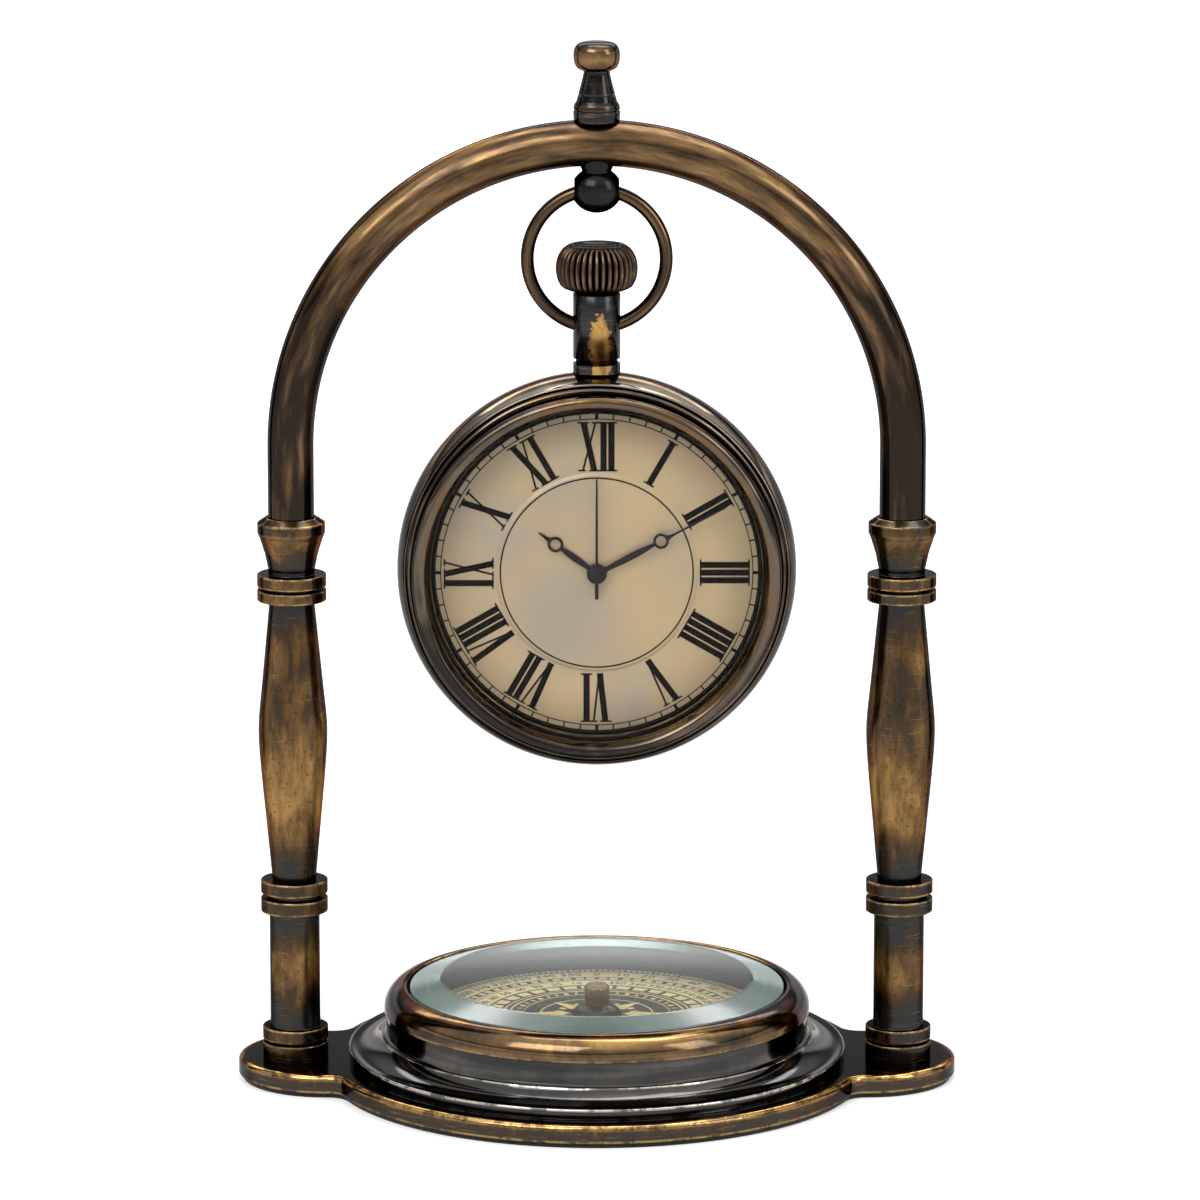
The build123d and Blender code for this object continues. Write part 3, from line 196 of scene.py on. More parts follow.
def patinated_brass(name, tones, blotch, spread, gloss, stretch=(1, 1, 1), lacquer=0.25, base_tone=0.0,
                    scratches=0.06, turned_on="Z", round_bands=0.0, band=1.6, centre=(0, 0, 0),
                    edge="#b08d56", wear=0.8, seed=0.0, patch=None, detail=6.0, oxide=0.55):
    """Brass, turned or bent, darkened by a patina, rubbed back and lacquered.

    The eye sees brown and near-black clouds, gold on worn rims, and soft reflections.
    Blotch is the clouds' size in millimetres. Stretch squeezes them along an axis. Round
    bands are rings round the axis: polish left by the cloth, and painted reflection streaks. A patch is a
    place rubbed bright: its middle and reach.
    """
    material, add = new_material(name)
    upright = turned_on == "Z"
    spot = add("ShaderNodeTexCoord", out="Object")
    moved = [-c * MM * f + seed for c, f in zip(centre, stretch)]
    placed = add("ShaderNodeMapping", {0: spot, 1: moved, 3: stretch})
    shape = {"Scale": per_mm(blotch), "Detail": detail, "Roughness": 0.64, "Distortion": 0.6}
    clouds = add("ShaderNodeTexNoise", {"Vector": placed, **shape})
    # Short rubbed streaks along the piece, about 1.6 mm wide
    long_way = add("ShaderNodeMapping", {0: spot, 3: (1, 1, 0.16) if upright else (0.5, 0.16, 0.5)})
    shape = {"Scale": per_mm(1.6), "Detail": 4.0, "Roughness": 0.7}
    streaks = add("ShaderNodeTexNoise", {"Vector": long_way, **shape})
    streaks = add("ShaderNodeMapRange", (streaks, *MOST, -oxide / 4, oxide / 4), clamp=False)
    tone = add("ShaderNodeAttribute", attribute_name="tone", out="Fac")
    # Rings round the axis: polish marks and painted reflection streaks
    if round_bands:
        axis = (0, 0, 1) if upright else (0, 1, 0)
        own = add("ShaderNodeMapping", {0: spot, 1: [-c * MM for c in centre]})
        flat = add("ShaderNodeVectorMath", (own, [1 - a for a in axis]), operation="MULTIPLY")
        away = add("ShaderNodeVectorMath", (flat,), operation="LENGTH", out="Value")
        away = add("ShaderNodeMath", (away, per_mm(band)), operation="MULTIPLY")
        facing = add("ShaderNodeVectorMath", {0: flat, "Scale": per_mm(40)}, operation="SCALE")
        axial = add("ShaderNodeVectorMath", (own, [a * per_mm(band) for a in axis]), operation="MULTIPLY")
        ring_spot = add("ShaderNodeVectorMath", (facing, axial), operation="ADD")
        rings = add(
            "ShaderNodeTexNoise",
            {"Vector": ring_spot, "W": away, "Scale": 1.0, "Detail": 1.6, "Roughness": 0.5},
            noise_dimensions="4D",
        )
        rings = add("ShaderNodeMapRange", (rings, *MOST, -round_bands, round_bands), clamp=False)
        tone = add("ShaderNodeMath", (tone, rings), operation="ADD")
    if patch:
        middle, reach = patch
        near = [per_mm(r) for r in reach]
        own = add("ShaderNodeMapping", {0: spot, 1: [-m * MM * n for m, n in zip(middle, near)], 3: near})
        away = add("ShaderNodeVectorMath", (own,), operation="LENGTH", out="Value")
        shape = {"Scale": per_mm(3), "Detail": 5.0, "Roughness": 0.7}
        ragged = add("ShaderNodeTexNoise", {"Vector": spot, **shape})
        ragged = add("ShaderNodeMapRange", (ragged, *MOST, -0.5, 0.5), clamp=False)
        away = add("ShaderNodeMath", (away, ragged), operation="ADD")
        bare = add("ShaderNodeMapRange", (away, 0.86, 0.98, 0.85, 0.0))
        tone = add("ShaderNodeMath", (tone, bare), operation="ADD")
    span = (base_tone - spread, base_tone + spread)
    shift = add("ShaderNodeMapRange", (clouds, *MOST, *span), clamp=False)
    level = add("ShaderNodeMath", (tone, shift), operation="ADD")
    level = add("ShaderNodeMath", (level, streaks), operation="ADD")
    tint = add("ShaderNodeValToRGB", (level,), stops=even_stops(tones))
    # Rims rub bright, in patches
    worn = add("ShaderNodeAttribute", attribute_name="worn", out="Fac")
    shape = {"Scale": per_mm(4.5), "Detail": 5.0, "Roughness": 0.7}
    patches = add("ShaderNodeTexNoise", {"Vector": spot, **shape})
    patches = add("ShaderNodeMapRange", (patches, 0.43, 0.52, 0.15, wear))
    rubbed = add("ShaderNodeMath", (worn, patches), operation="MULTIPLY", use_clamp=True)
    # Specks of dark oxide, and hair scratches left by the lathe and the polishing cloth
    specks = add("ShaderNodeTexNoise", {"Vector": spot, "Scale": per_mm(0.8), "Detail": 2.0})
    specks = add("ShaderNodeMapRange", (specks, 0.6, 0.7, 0.0, oxide))
    round_way = add("ShaderNodeMapping", {0: spot, 3: (0.07, 0.07, 1) if upright else (0.12, 1, 0.12)})
    shape = {"Scale": per_mm(0.42), "Detail": 3.0, "Roughness": 0.65}
    hairs = add("ShaderNodeTexNoise", {"Vector": round_way, **shape})
    bright = add("ShaderNodeMapRange", (hairs, 0.6, 0.72, 0.0, scratches * 4))
    for share, mark in ((rubbed, edge), (specks, "#211a15"), (bright, "#b39b78")):
        tint = add("ShaderNodeMix", {0: share, 6: tint, 7: linear(mark)}, **OF_COLOURS)
    relief = {"Height": hairs, "Strength": 0.06 + scratches, "Distance": MARK_DEPTH}
    return surface(material, add, {
        "Base Color": tint,
        "Metallic": 1.0,
        "Roughness": add("ShaderNodeMapRange", (clouds, *MOST, *gloss)),
        "Normal": add("ShaderNodeBump", relief),
        "Coat Weight": lacquer,
        "Coat Roughness": 0.1,
        "Specular Tint": linear("#75685a"),
    })


def speckled(name, first, second, grain, roughness, metallic=0.0, relief=0.1, depth=MARK_DEPTH, **more):
    """A plain material with a real surface: two near tones, an uneven gloss and a grain."""
    material, add = new_material(name)
    spot = add("ShaderNodeTexCoord", out="Object")
    shape = {"Scale": per_mm(grain), "Detail": 4.0, "Roughness": 0.6}
    grains = add("ShaderNodeTexNoise", {"Vector": spot, **shape})
    stops = [(MOST[0], as_colour(first)), (MOST[1], as_colour(second))]
    return surface(material, add, {
        "Base Color": add("ShaderNodeValToRGB", (grains,), stops=stops),
        "Metallic": metallic,
        "Roughness": add("ShaderNodeMapRange", (grains, *MOST, roughness * 0.85, roughness * 1.15)),
        "Normal": add("ShaderNodeBump", {"Height": grains, "Strength": relief, "Distance": depth}),
        **more,
    })


def clear_glass(name, tint, roughness=0.0, share=1.0, bend=1.5, mirror=0.5):
    """Soda-lime glass, float or ground: clear with a green cast, and lamps shine through it.

    A share below 1 makes it milky. A coated or ground face mirrors less.
    """
    material, add = new_material(name)
    tint = as_colour(tint)
    sockets = {"Base Color": tint, "Roughness": roughness, "IOR": bend, "Transmission Weight": share}
    body = add("ShaderNodeBsdfPrincipled", {**sockets, "Specular IOR Level": mirror})
    lamps = add("ShaderNodeLightPath", out="Is Shadow Ray")
    through = add("ShaderNodeBsdfTransparent", (tint,))
    add("ShaderNodeOutputMaterial", (add("ShaderNodeMixShader", (lamps, body, through)),))
    return material


# Rounded corners: the turn between their points, and how much of a side one may take
ARC_STEP = radians(14)
CORNER_SHARE = 0.48
GUARD = 0.3


def profile(corners, tone=0.5, closed=True):
    """Points (radius, height, tone, worn) along a turned profile, with its corners rounded.

    A corner is (radius, height), then its rounding, its tone and its wear where it has them.
    """
    spots = [Vector(corner[:2]) for corner in corners]
    way = 1 if sum(a.x * b.y - b.x * a.y for a, b in zip(spots, spots[1:] + spots[:1])) > 0 else -1
    points = []
    for index, corner in enumerate(corners):
        here = spots[index]
        rounding = corner[2] if len(corner) > 2 else 0
        shade = corner[3] if len(corner) > 3 else tone
        at_end = not closed and index in (0, len(corners) - 1)
        if not rounding or at_end:
            points.append((here.x, here.y, shade, 0.0))
            continue
        back = spots[index - 1] - here
        ahead = spots[(index + 1) % len(spots)] - here
        half = back.angle(ahead) / 2
        reach = min(rounding / tan(half), back.length * CORNER_SHARE, ahead.length * CORNER_SHARE)
        radius = reach * tan(half)
        first, last = here + back.normalized() * reach, here + ahead.normalized() * reach
        centre = here + (back.normalized() + ahead.normalized()).normalized() * radius / sin(half)
        start = atan2(first.y - centre.y, first.x - centre.x)
        cross = ahead.x * back.y - ahead.y * back.x
        sweep = (pi - 2 * half) * (1 if cross > 0 else -1)
        steps = max(2, ceil(abs(sweep) / ARC_STEP))
        worn = corner[4] if len(corner) > 4 else (1.0 if cross * way > 0 else 0.0)
        # Guards keep the wear on the rim itself
        before, after = (
            [(*(end + side.normalized() * GUARD), shade, 0.0)] if side.length - reach > 2.5 * GUARD else []
            for end, side in ((first, back), (last, ahead))
        )
        turns = [start + sweep * step / steps for step in range(steps + 1)]
        arc = [(centre.x + radius * cos(turn), centre.y + radius * sin(turn), shade, worn) for turn in turns]
        points += before + arc + after
    return points


def smooth_run(knots, steps=6):
    """Corners along a smooth line through knots (radius, height, tone)."""
    ends = [knots[0], *knots, knots[-1]]
    run = []
    for i in range(1, len(ends) - 2):
        for t in (step / steps for step in range(steps)):
            radius, height, tone = (
                0.5 * (2 * b + (c - a) * t + (2 * a - 5 * b + 4 * c - d) * t * t
                       + (3 * b - a - 3 * c + d) * t ** 3)
                for a, b, c, d in zip(*ends[i - 1 : i + 3])
            )
            run.append((radius, height, 0, tone))
    radius, height, tone = knots[-1]
    return run + [(radius, height, 0, tone)]


def arc_through(first, middle, last, steps, tone):
    """Corners of one tone along the circle through three points."""
    (ax, ay), (bx, by), (cx, cy) = first, middle, last
    d = 2 * (ax * (by - cy) + bx * (cy - ay) + cx * (ay - by))
    sa, sb, sc = ax * ax + ay * ay, bx * bx + by * by, cx * cx + cy * cy
    ux = (sa * (by - cy) + sb * (cy - ay) + sc * (ay - by)) / d
    uy = (sa * (cx - bx) + sb * (ax - cx) + sc * (bx - ax)) / d
    radius = sqrt((ax - ux) ** 2 + (ay - uy) ** 2)
    start, via, stop = (atan2(y - uy, x - ux) for x, y in (first, middle, last))
    sweep = (stop - start) % (2 * pi)
    if (via - start) % (2 * pi) > sweep:
        sweep -= 2 * pi
    turns = [start + sweep * i / steps for i in range(steps + 1)]
    return [(ux + radius * cos(turn), uy + radius * sin(turn), 0, tone) for turn in turns]


def new_object(name, data, *materials):
    """An object in the scene that wears these materials and no others."""
    obj = bpy.data.objects.new(name, data)
    bpy.context.scene.collection.objects.link(obj)
    # Clearing an empty list would also reset which face wears which material
    if materials and data.materials:
        data.materials.clear()
    for material in materials:
        data.materials.append(material)
    return obj


def new_mesh(name, verts, faces, **values):
    """A mesh, with a value for each point under every other name given."""
    mesh = bpy.data.meshes.new(name)
    mesh.from_pydata(verts, [], faces)
    for label, numbers in values.items():
        mesh.attributes.new(label, "FLOAT", "POINT").data.foreach_set("value", numbers)
    return mesh


SEAM = 0.0005 * MM


def finish_mesh(mesh, sharp=32):
    """Closes a mesh's seams, turns its faces outward and shades it smooth up to an angle."""
    work = bmesh.new()
    work.from_mesh(mesh)
    bmesh.ops.remove_doubles(work, verts=work.verts, dist=SEAM)
    bmesh.ops.recalc_face_normals(work, faces=work.faces)
    work.to_mesh(mesh)
    work.free()
    mesh.shade_smooth()
    mesh.set_sharp_from_angle(angle=radians(sharp))
    return mesh


def evaluated_mesh(carrier, name):
    """The plain mesh that a curve, a text or a modifier ends in. Its carrier goes away."""
    bpy.context.view_layer.update()
    mesh = bpy.data.meshes.new_from_object(carrier.evaluated_get(bpy.context.evaluated_depsgraph_get()))
    mesh.name = name
    for modifier in list(carrier.modifiers):
        carrier.modifiers.remove(modifier)
    bpy.data.objects.remove(carrier)
    return mesh


def joined(name, objects):
    """One object out of several, in the order given, with their materials kept."""
    work = bmesh.new()
    materials = []
    for obj in objects:
        start = len(work.faces)
        work.from_mesh(obj.data)
        work.faces.ensure_lookup_table()
        places = []
        for material in obj.data.materials:
            if material not in materials:
                materials.append(material)
            places.append(materials.index(material))
        for face in work.faces[start:]:
            face.material_index = places[face.material_index]
        bpy.data.objects.remove(obj)
    mesh = bpy.data.meshes.new(name)
    work.to_mesh(mesh)
    work.free()
    return new_object(name, mesh, *materials)


def turned(name, points, material, centre=(0, 0), across=False, sides=96, closed=True, sharp=32, sway=0.0):
    """An object turned from profile points. Its axis is upright at centre (x, y).

    Across, the axis runs back along Y at centre (x, z), and heights are depths.
    Its painted light and shade lighten its upper side and darken its lower side, as light from above would.
    """
    verts, tones, wear, rings, faces = [], [], [], [], []
    for radius, height, tone, worn in points:
        here = 1 if radius < 1e-5 else sides
        rings.append((len(verts), here))
        for side in range(here):
            turn = 2 * pi * side / sides
            x, y = centre[0] + radius * cos(turn), centre[1] + radius * sin(turn)
            verts.append([c * MM for c in ((x, height, y) if across else (x, y, height))])
            # Painted light and shade: the upper side lighter, the lower side darker
            tones.append(tone + sway * sin(turn))
            wear.append(worn)
    for (a, on_a), (b, on_b) in zip(rings, rings[1:] + rings[:1] if closed else rings[1:]):
        for side in range(sides):
            after = (side + 1) % sides
            if on_a > 1 and on_b > 1:
                faces.append((a + side, a + after, b + after, b + side))
            elif on_a > 1:
                faces.append((a + side, a + after, b))
            elif on_b > 1:
                faces.append((a, b + after, b + side))
    mesh = new_mesh(name, verts, faces, tone=tones, worn=wear)
    return new_object(name, finish_mesh(mesh, sharp), material)


def dress(obj, body, slot, *nodes):
    """A finished piece rides on its body and stands for its CAD nodes, which are hidden. Its slot is not
    used.
    """
    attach(obj, body)
    if nodes:
        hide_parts(*nodes)
    return obj


def turned_piece(node, body, slot, points, material, **how):
    """A turned piece that stands for one CAD node."""
    return dress(turned(f"{node}_dressed", points, material, **how), body, slot, node)


def finish_node(node, material):
    """A CAD node keeps its shape and gets a better finish."""
    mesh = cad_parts[node].data
    mesh.materials.clear()
    mesh.materials.append(material)


def tree_with(name, *sockets):
    """A Geometry Nodes tree with named inputs between its geometry and its material.

    Gives the tree, the function that adds nodes to it, and its inputs by name.
    """
    tree = bpy.data.node_groups.new(name, "GeometryNodeTree")
    for socket, kind in (("Geometry", "Geometry"), *sockets, ("Material", "Material")):
        tree.interface.new_socket(socket, in_out="INPUT", socket_type=f"NodeSocket{kind}")
    tree.interface.new_socket("Geometry", in_out="OUTPUT", socket_type="NodeSocketGeometry")
    add = partial(add_node, tree)
    return tree, add, add("NodeGroupInput").node.outputs


def close_tree(add, given, geometry):
    """Ends a tree in plain geometry that wears the material asked for."""
    plain = add("GeometryNodeRealizeInstances", (geometry,))
    add("NodeGroupOutput", (add("GeometryNodeSetMaterial", {0: plain, "Material": given["Material"]}),))


def made_by(tree, carrier, values, name, sharp=32):
    """Runs a tree on a carrier object and returns its result as a plain object."""
    modifier = carrier.modifiers.new(tree.name, "NODES")
    modifier.node_group = tree
    for item in tree.interface.items_tree:
        if item.in_out == "INPUT" and item.name in values:
            modifier[item.identifier] = values[item.name]
    return new_object(name, finish_mesh(evaluated_mesh(carrier, name), sharp), values["Material"])


PER_POINT = {"data_type": "FLOAT", "domain": "POINT"}


def rod_tree():
    """A round rod along a path. It keeps how far along and how far round each point is."""
    tree, add, given = tree_with("Rod along a path", ("Rod radius", "Float"), ("Sides", "Int"))
    store = "GeometryNodeStoreNamedAttribute"
    far = add("GeometryNodeSplineParameter", out="Length")
    path = add(store, {"Geometry": given["Geometry"], "Name": "along", "Value": far}, **PER_POINT)
    size = {"Resolution": given["Sides"], "Radius": given["Rod radius"]}
    ring = add("GeometryNodeCurvePrimitiveCircle", size)
    turn = add("GeometryNodeSplineParameter", out="Factor")
    ring = add(store, {"Geometry": ring, "Name": "round", "Value": turn}, **PER_POINT)
    rod = add("GeometryNodeCurveToMesh", {"Curve": path, "Profile Curve": ring, "Fill Caps": True})
    close_tree(add, given, rod)
    return tree


def poly_curve(name, outlines, dimensions, cyclic=False):
    """A curve of straight runs through points in millimetres."""
    curve = bpy.data.curves.new(name, "CURVE")
    curve.dimensions = dimensions
    for outline in outlines:
        spline = curve.splines.new("POLY")
        spline.points.add(len(outline) - 1)
        for place, (x, y, *z) in zip(spline.points, outline):
            place.co = (x * MM, y * MM, z[0] * MM if z else 0, 1)
        spline.use_cyclic_u = cyclic
    return curve


def rod_patina(name, tones, span, seed, dark, light):
    """Brass rod, drawn and bent, with a patina that was rubbed along its length.

    The eye sees long brown and gold streaks that follow the bend, darker near its ends.
    """
    material, add = new_material(name)
    along = add("ShaderNodeAttribute", attribute_name="along", out="Fac")
    turn = add("ShaderNodeAttribute", attribute_name="round", out="Fac")
    angle = add("ShaderNodeMath", (turn, 2 * pi), operation="MULTIPLY")
    across = add("ShaderNodeMath", (angle,), operation="COSINE")
    up = add("ShaderNodeMath", (angle,), operation="SINE")
    # Streaks run about 30 mm along the rod
    far = add("ShaderNodeMath", (along, per_mm(30)), operation="MULTIPLY")
    streak_spot = add("ShaderNodeCombineXYZ", (across, up, far))
    shape = {"Scale": 1.9, "Detail": 6.0, "Roughness": 0.6, "Distortion": 0.2, "W": seed}
    streaks = add("ShaderNodeTexNoise", {"Vector": streak_spot, **shape}, noise_dimensions="4D")
    from_end = add("ShaderNodeMath", (span * MM, along), operation="SUBTRACT")
    nearest = add("ShaderNodeMath", (along, from_end), operation="MINIMUM")
    ends = (nearest, 2 * MM, 0.42 * span * MM, dark, light)
    darker = add("ShaderNodeMapRange", ends, interpolation_type="SMOOTHSTEP")
    level = add("ShaderNodeMapRange", (streaks, 0.34, 0.66, 0.08, 0.95), clamp=False)
    level = add("ShaderNodeMath", (level, darker), operation="ADD")
    spot = add("ShaderNodeTexCoord", out="Object")
    marks = add("ShaderNodeTexNoise", {"Vector": spot, "Scale": per_mm(0.6), "Detail": 3.0})
    return surface(material, add, {
        "Base Color": add("ShaderNodeValToRGB", (level,), stops=even_stops(tones)),
        "Metallic": 1.0,
        "Roughness": add("ShaderNodeMapRange", (streaks, *MOST, 0.3, 0.2)),
        "Normal": add("ShaderNodeBump", {"Height": marks, "Strength": 0.12, "Distance": MARK_DEPTH}),
        "Coat Weight": 0.2,
        "Coat Roughness": 0.08,
        "Specular Tint": linear("#6d5f50"),
    })


def stand_tones(stand):
    return stand.gunmetal, stand.umber, stand.bronze, stand.gold


# The base plate's outline: a disc and two lobes, joined by a hollow curve
PLATE_DISC, LOBE, JUNCTION = 59.0, 19.5, 4.0
PLATE_LOW, PLATE_HIGH = 1.0, 5.0
LOBE_STEPS, HOLLOW_STEPS, DISC_STEPS = 32, 12, 48


def plate_ring(inset):
    """The plate's outline, inset all round, as points that match for every inset."""
    disc, lobe, hollow = PLATE_DISC - inset, LOBE - inset, JUNCTION + inset
    spread = PLATE_DISC
    x = ((disc + hollow) ** 2 - (lobe + hollow) ** 2 + spread ** 2) / (2 * spread)
    y = sqrt((disc + hollow) ** 2 - x ** 2)
    tip, first = atan2(y, x - spread), atan2(y, x)
    arcs = (
        (spread, 0, lobe, 0, tip, LOBE_STEPS, 0),
        (x, y, hollow, tip + pi, atan2(-y, -x) % (2 * pi), HOLLOW_STEPS, 1),
        (0, 0, disc, first, pi / 2, DISC_STEPS, 1),
    )
    quarter = []
    for middle_x, middle_y, radius, start, stop, steps, skipped in arcs:
        for step in range(skipped, steps + 1):
            turn = start + (stop - start) * step / steps
            quarter.append((middle_x + radius * cos(turn), middle_y + radius * sin(turn)))
    upper = quarter + [(-px, py) for px, py in reversed(quarter[:-1])]
    return upper + [(px, -py) for px, py in reversed(upper[1:-1])]


def shape_base_plate(stand):
    """The lobed plate, worn bright along its top edge, and the felt under it."""
    rounding, under = stand.plate_rounding / MM, 0.5
    # Each level is (inset, height, tone, worn)
    levels = [(4.0, PLATE_LOW, 0.25, 0.0), (under, PLATE_LOW, 0.2, 0.2)]
    for turn in (pi / 2 * step / 3 for step in range(4)):
        levels.append((under * (1 - sin(turn)), PLATE_LOW + under * (1 - cos(turn)), 0.22, 0.6))
    levels += [(0.0, PLATE_LOW + 0.8, 0.18, 0.0), (0.0, PLATE_HIGH - rounding - 0.3, 0.3, 0.0)]
    for turn in (pi / 2 * step / 7 for step in range(8)):
        inset, drop = rounding * (1 - cos(turn)), rounding * (1 - sin(turn))
        levels.append((inset, PLATE_HIGH - drop, 0.5, sqrt(sin(turn)) if turn else 0.1))
    levels += [(rounding + 0.4, PLATE_HIGH, 0.4, 0.2), (rounding + 2.0, PLATE_HIGH, 0.25, 0.0),
               (rounding + 4.5, PLATE_HIGH, 0.12, 0.0)]
    verts, tones, wear = [], [], []
    for inset, height, tone, worn in levels:
        ring = plate_ring(inset)
        verts += [(x * MM, y * MM, height * MM) for x, y in ring]
        tones += [tone] * len(ring)
        wear += [worn] * len(ring)
    size, top = len(ring), len(verts) - len(ring)
    faces = [tuple(range(size)), tuple(range(top, len(verts)))]
    for start in range(0, top, size):
        for i in range(size):
            a, b = start + i, start + (i + 1) % size
            faces.append((a, b, b + size, a + size))
    metal = patinated_brass(
        "Brass plate, milled, dark polished patina", stand_tones(stand), 9, 0.2, (0.1, 0.2), lacquer=0.3,
        edge="#bf9858", wear=1.0,
    )
    mesh = new_mesh("base_plate_dressed", verts, faces, tone=tones, worn=wear)
    dress(new_object("base_plate_dressed", finish_mesh(mesh, 40), metal), "stand", "plate", "base_plate")
    felt = speckled("Wool felt, pressed", "#23302a", "#17211c", 0.6, 0.95, relief=0.9, depth=0.2 * MM,
                    **{"Sheen Weight": 0.4})
    finish_node("base_felt", felt)


# Profiles below are lists of (radius, height, rounding, tone, wear) in millimetres
BORE = 2.2
COLUMN_SPINDLE = (
    (4.75, 44.4, 0.02), (5.3, 50.3, 0.4), (6.05, 58.5, 0.85), (6.85, 67.0, 0.85), (7.42, 74.5, 0.64),
    (7.42, 80.0, 0.5), (6.75, 87.0, 0.46), (5.9, 95.7, 0.5), (5.25, 102.4, 0.3), (4.85, 106.5, 0.05),
)


def shape_columns(stand):
    """Feet, stems, balusters and ferrules, turned with small worn rims."""
    rim = stand.rim_rounding / MM
    foot = [
        (BORE, 5.0), (7.15, 5.0, rim, 0.2), (7.15, 8.0, rim, 0.3),
        (5.7, 8.0, 0, 0.1), (5.7, 8.6, 0, 0.1), (BORE, 8.6),
    ]
    stem = [
        (BORE, 8.6), (7.15, 8.6, rim, 0.3), (7.15, 11.5, rim, 0.3), (5.6, 11.5, 0.15, 0.05),
        (5.47, 13.5, 0, 0.02), (5.47, 17.0, 0, 0.2), (5.47, 22.0, 0, 0.72), (5.47, 28.0, 0, 0.62),
        (5.47, 31.5, 0, 0.25), (5.47, 35.0, 0, 0.05), (5.47, 37.3, 0.1, 0.02), (7.3, 37.3, rim, 0.35),
        (7.3, 40.4, rim, 0.3), (5.7, 40.4, 0, 0.1), (5.7, 41.5, 0, 0.1), (BORE, 41.5),
    ]
    baluster = [
        (BORE, 41.5), (7.3, 41.5, rim, 0.3), (7.3, 44.4, rim, 0.3), *smooth_run(COLUMN_SPINDLE),
        (7.5, 106.5, rim, 0.5), (7.5, 108.9, rim, 0.45), (5.7, 108.9, 0, -0.3), (5.7, 109.6, 0, -0.3),
        (BORE, 109.6),
    ]
    ferrule = [
        (0, 115.0), (BORE, 115.0), (BORE, 109.6), (7.5, 109.6, rim, 0.5), (7.5, 112.3, rim, 0.5),
        (5.0, 112.3, 0.2, 0.02), (5.0, 113.1, 0.2, 0.1), (5.8, 116.9, 1.5, 0.5), (6.85, 120.2, 0.3, 0.7, 0.1),
        (7.25, 121.2, 0.25, 0.6, 0.4), (7.35, 121.45, 0.2, 0.5, 0.3), (7.35, 123.6, rim, 0.35),
        (5.6, 124.8, 0.15, 0.1), (5.05, 124.8), (5.05, 116.4), (0, 116.4),
    ]
    pieces = {"foot": foot, "stem": stem, "baluster": baluster, "ferrule": ferrule}
    for side, side_name in ((-1, "left"), (1, "right")):
        middle = side * COLUMN_SPREAD
        metal = patinated_brass(
            f"Cast brass, turned, mottled patina, {side_name}", stand_tones(stand), 6, 0.34, (0.17, 0.3),
            stretch=(1, 1, 0.4), centre=(middle, 0, 0), seed=0.31 + 0.2 * side, edge="#a98a5c", wear=0.75,
            scratches=0.045, base_tone=-0.04 - 0.06 * side, lacquer=0.12,
        )
        for piece, corners in pieces.items():
            closed = piece != "ferrule"
            turned_piece(
                f"{side_name}_column_{piece}", "stand", "column", profile(corners, 0.3, closed), metal,
                centre=(middle, 0), sides=stand.turned_sides, closed=closed,
            )


ARCH_FOOT, ARCH_CENTRE, FINIAL_FOOT = 116.4, 140.2, 210.7
ARCH_STEPS = 112
BALL_CENTRE, BOW_CENTRE, BOW_RADIUS = 196.05, 181.15, 14.9
# The finial's corners stand above its foot
FINIAL_CONE = (
    (4.95, 0, 0.3, 0.0), (5.05, 2.3, 0.2, 0.05), (4.85, 2.45, 0, 0.0), (4.85, 2.6, 0, 0.0),
    (5.0, 2.8, 0.2, 0.25), (4.85, 3.7, 0.5, 0.3), (4.35, 4.5, 0.3, 0.1), (4.0, 5.75, 0, 0.05),
    (3.85, 5.85, 0, 0.0), (3.85, 5.95, 0, 0.0), (3.92, 6.1, 0.1, 0.1), (3.35, 8.2, 0, 0.2),
    (2.85, 10.3, 0.4, 0.05), (2.8, 11.1, 0.15, 0.0),
)
FINIAL_KNOB = (
    (3.3, 11.1, 0.3), (4.3, 11.7, 0.55), (4.85, 12.9, 0.75), (4.97, 14.2, 0.8), (4.85, 15.5, 0.7),
    (4.2, 16.6, 0.45), (2.9, 17.15, 0.3), (1.2, 17.29, 0.2),
)


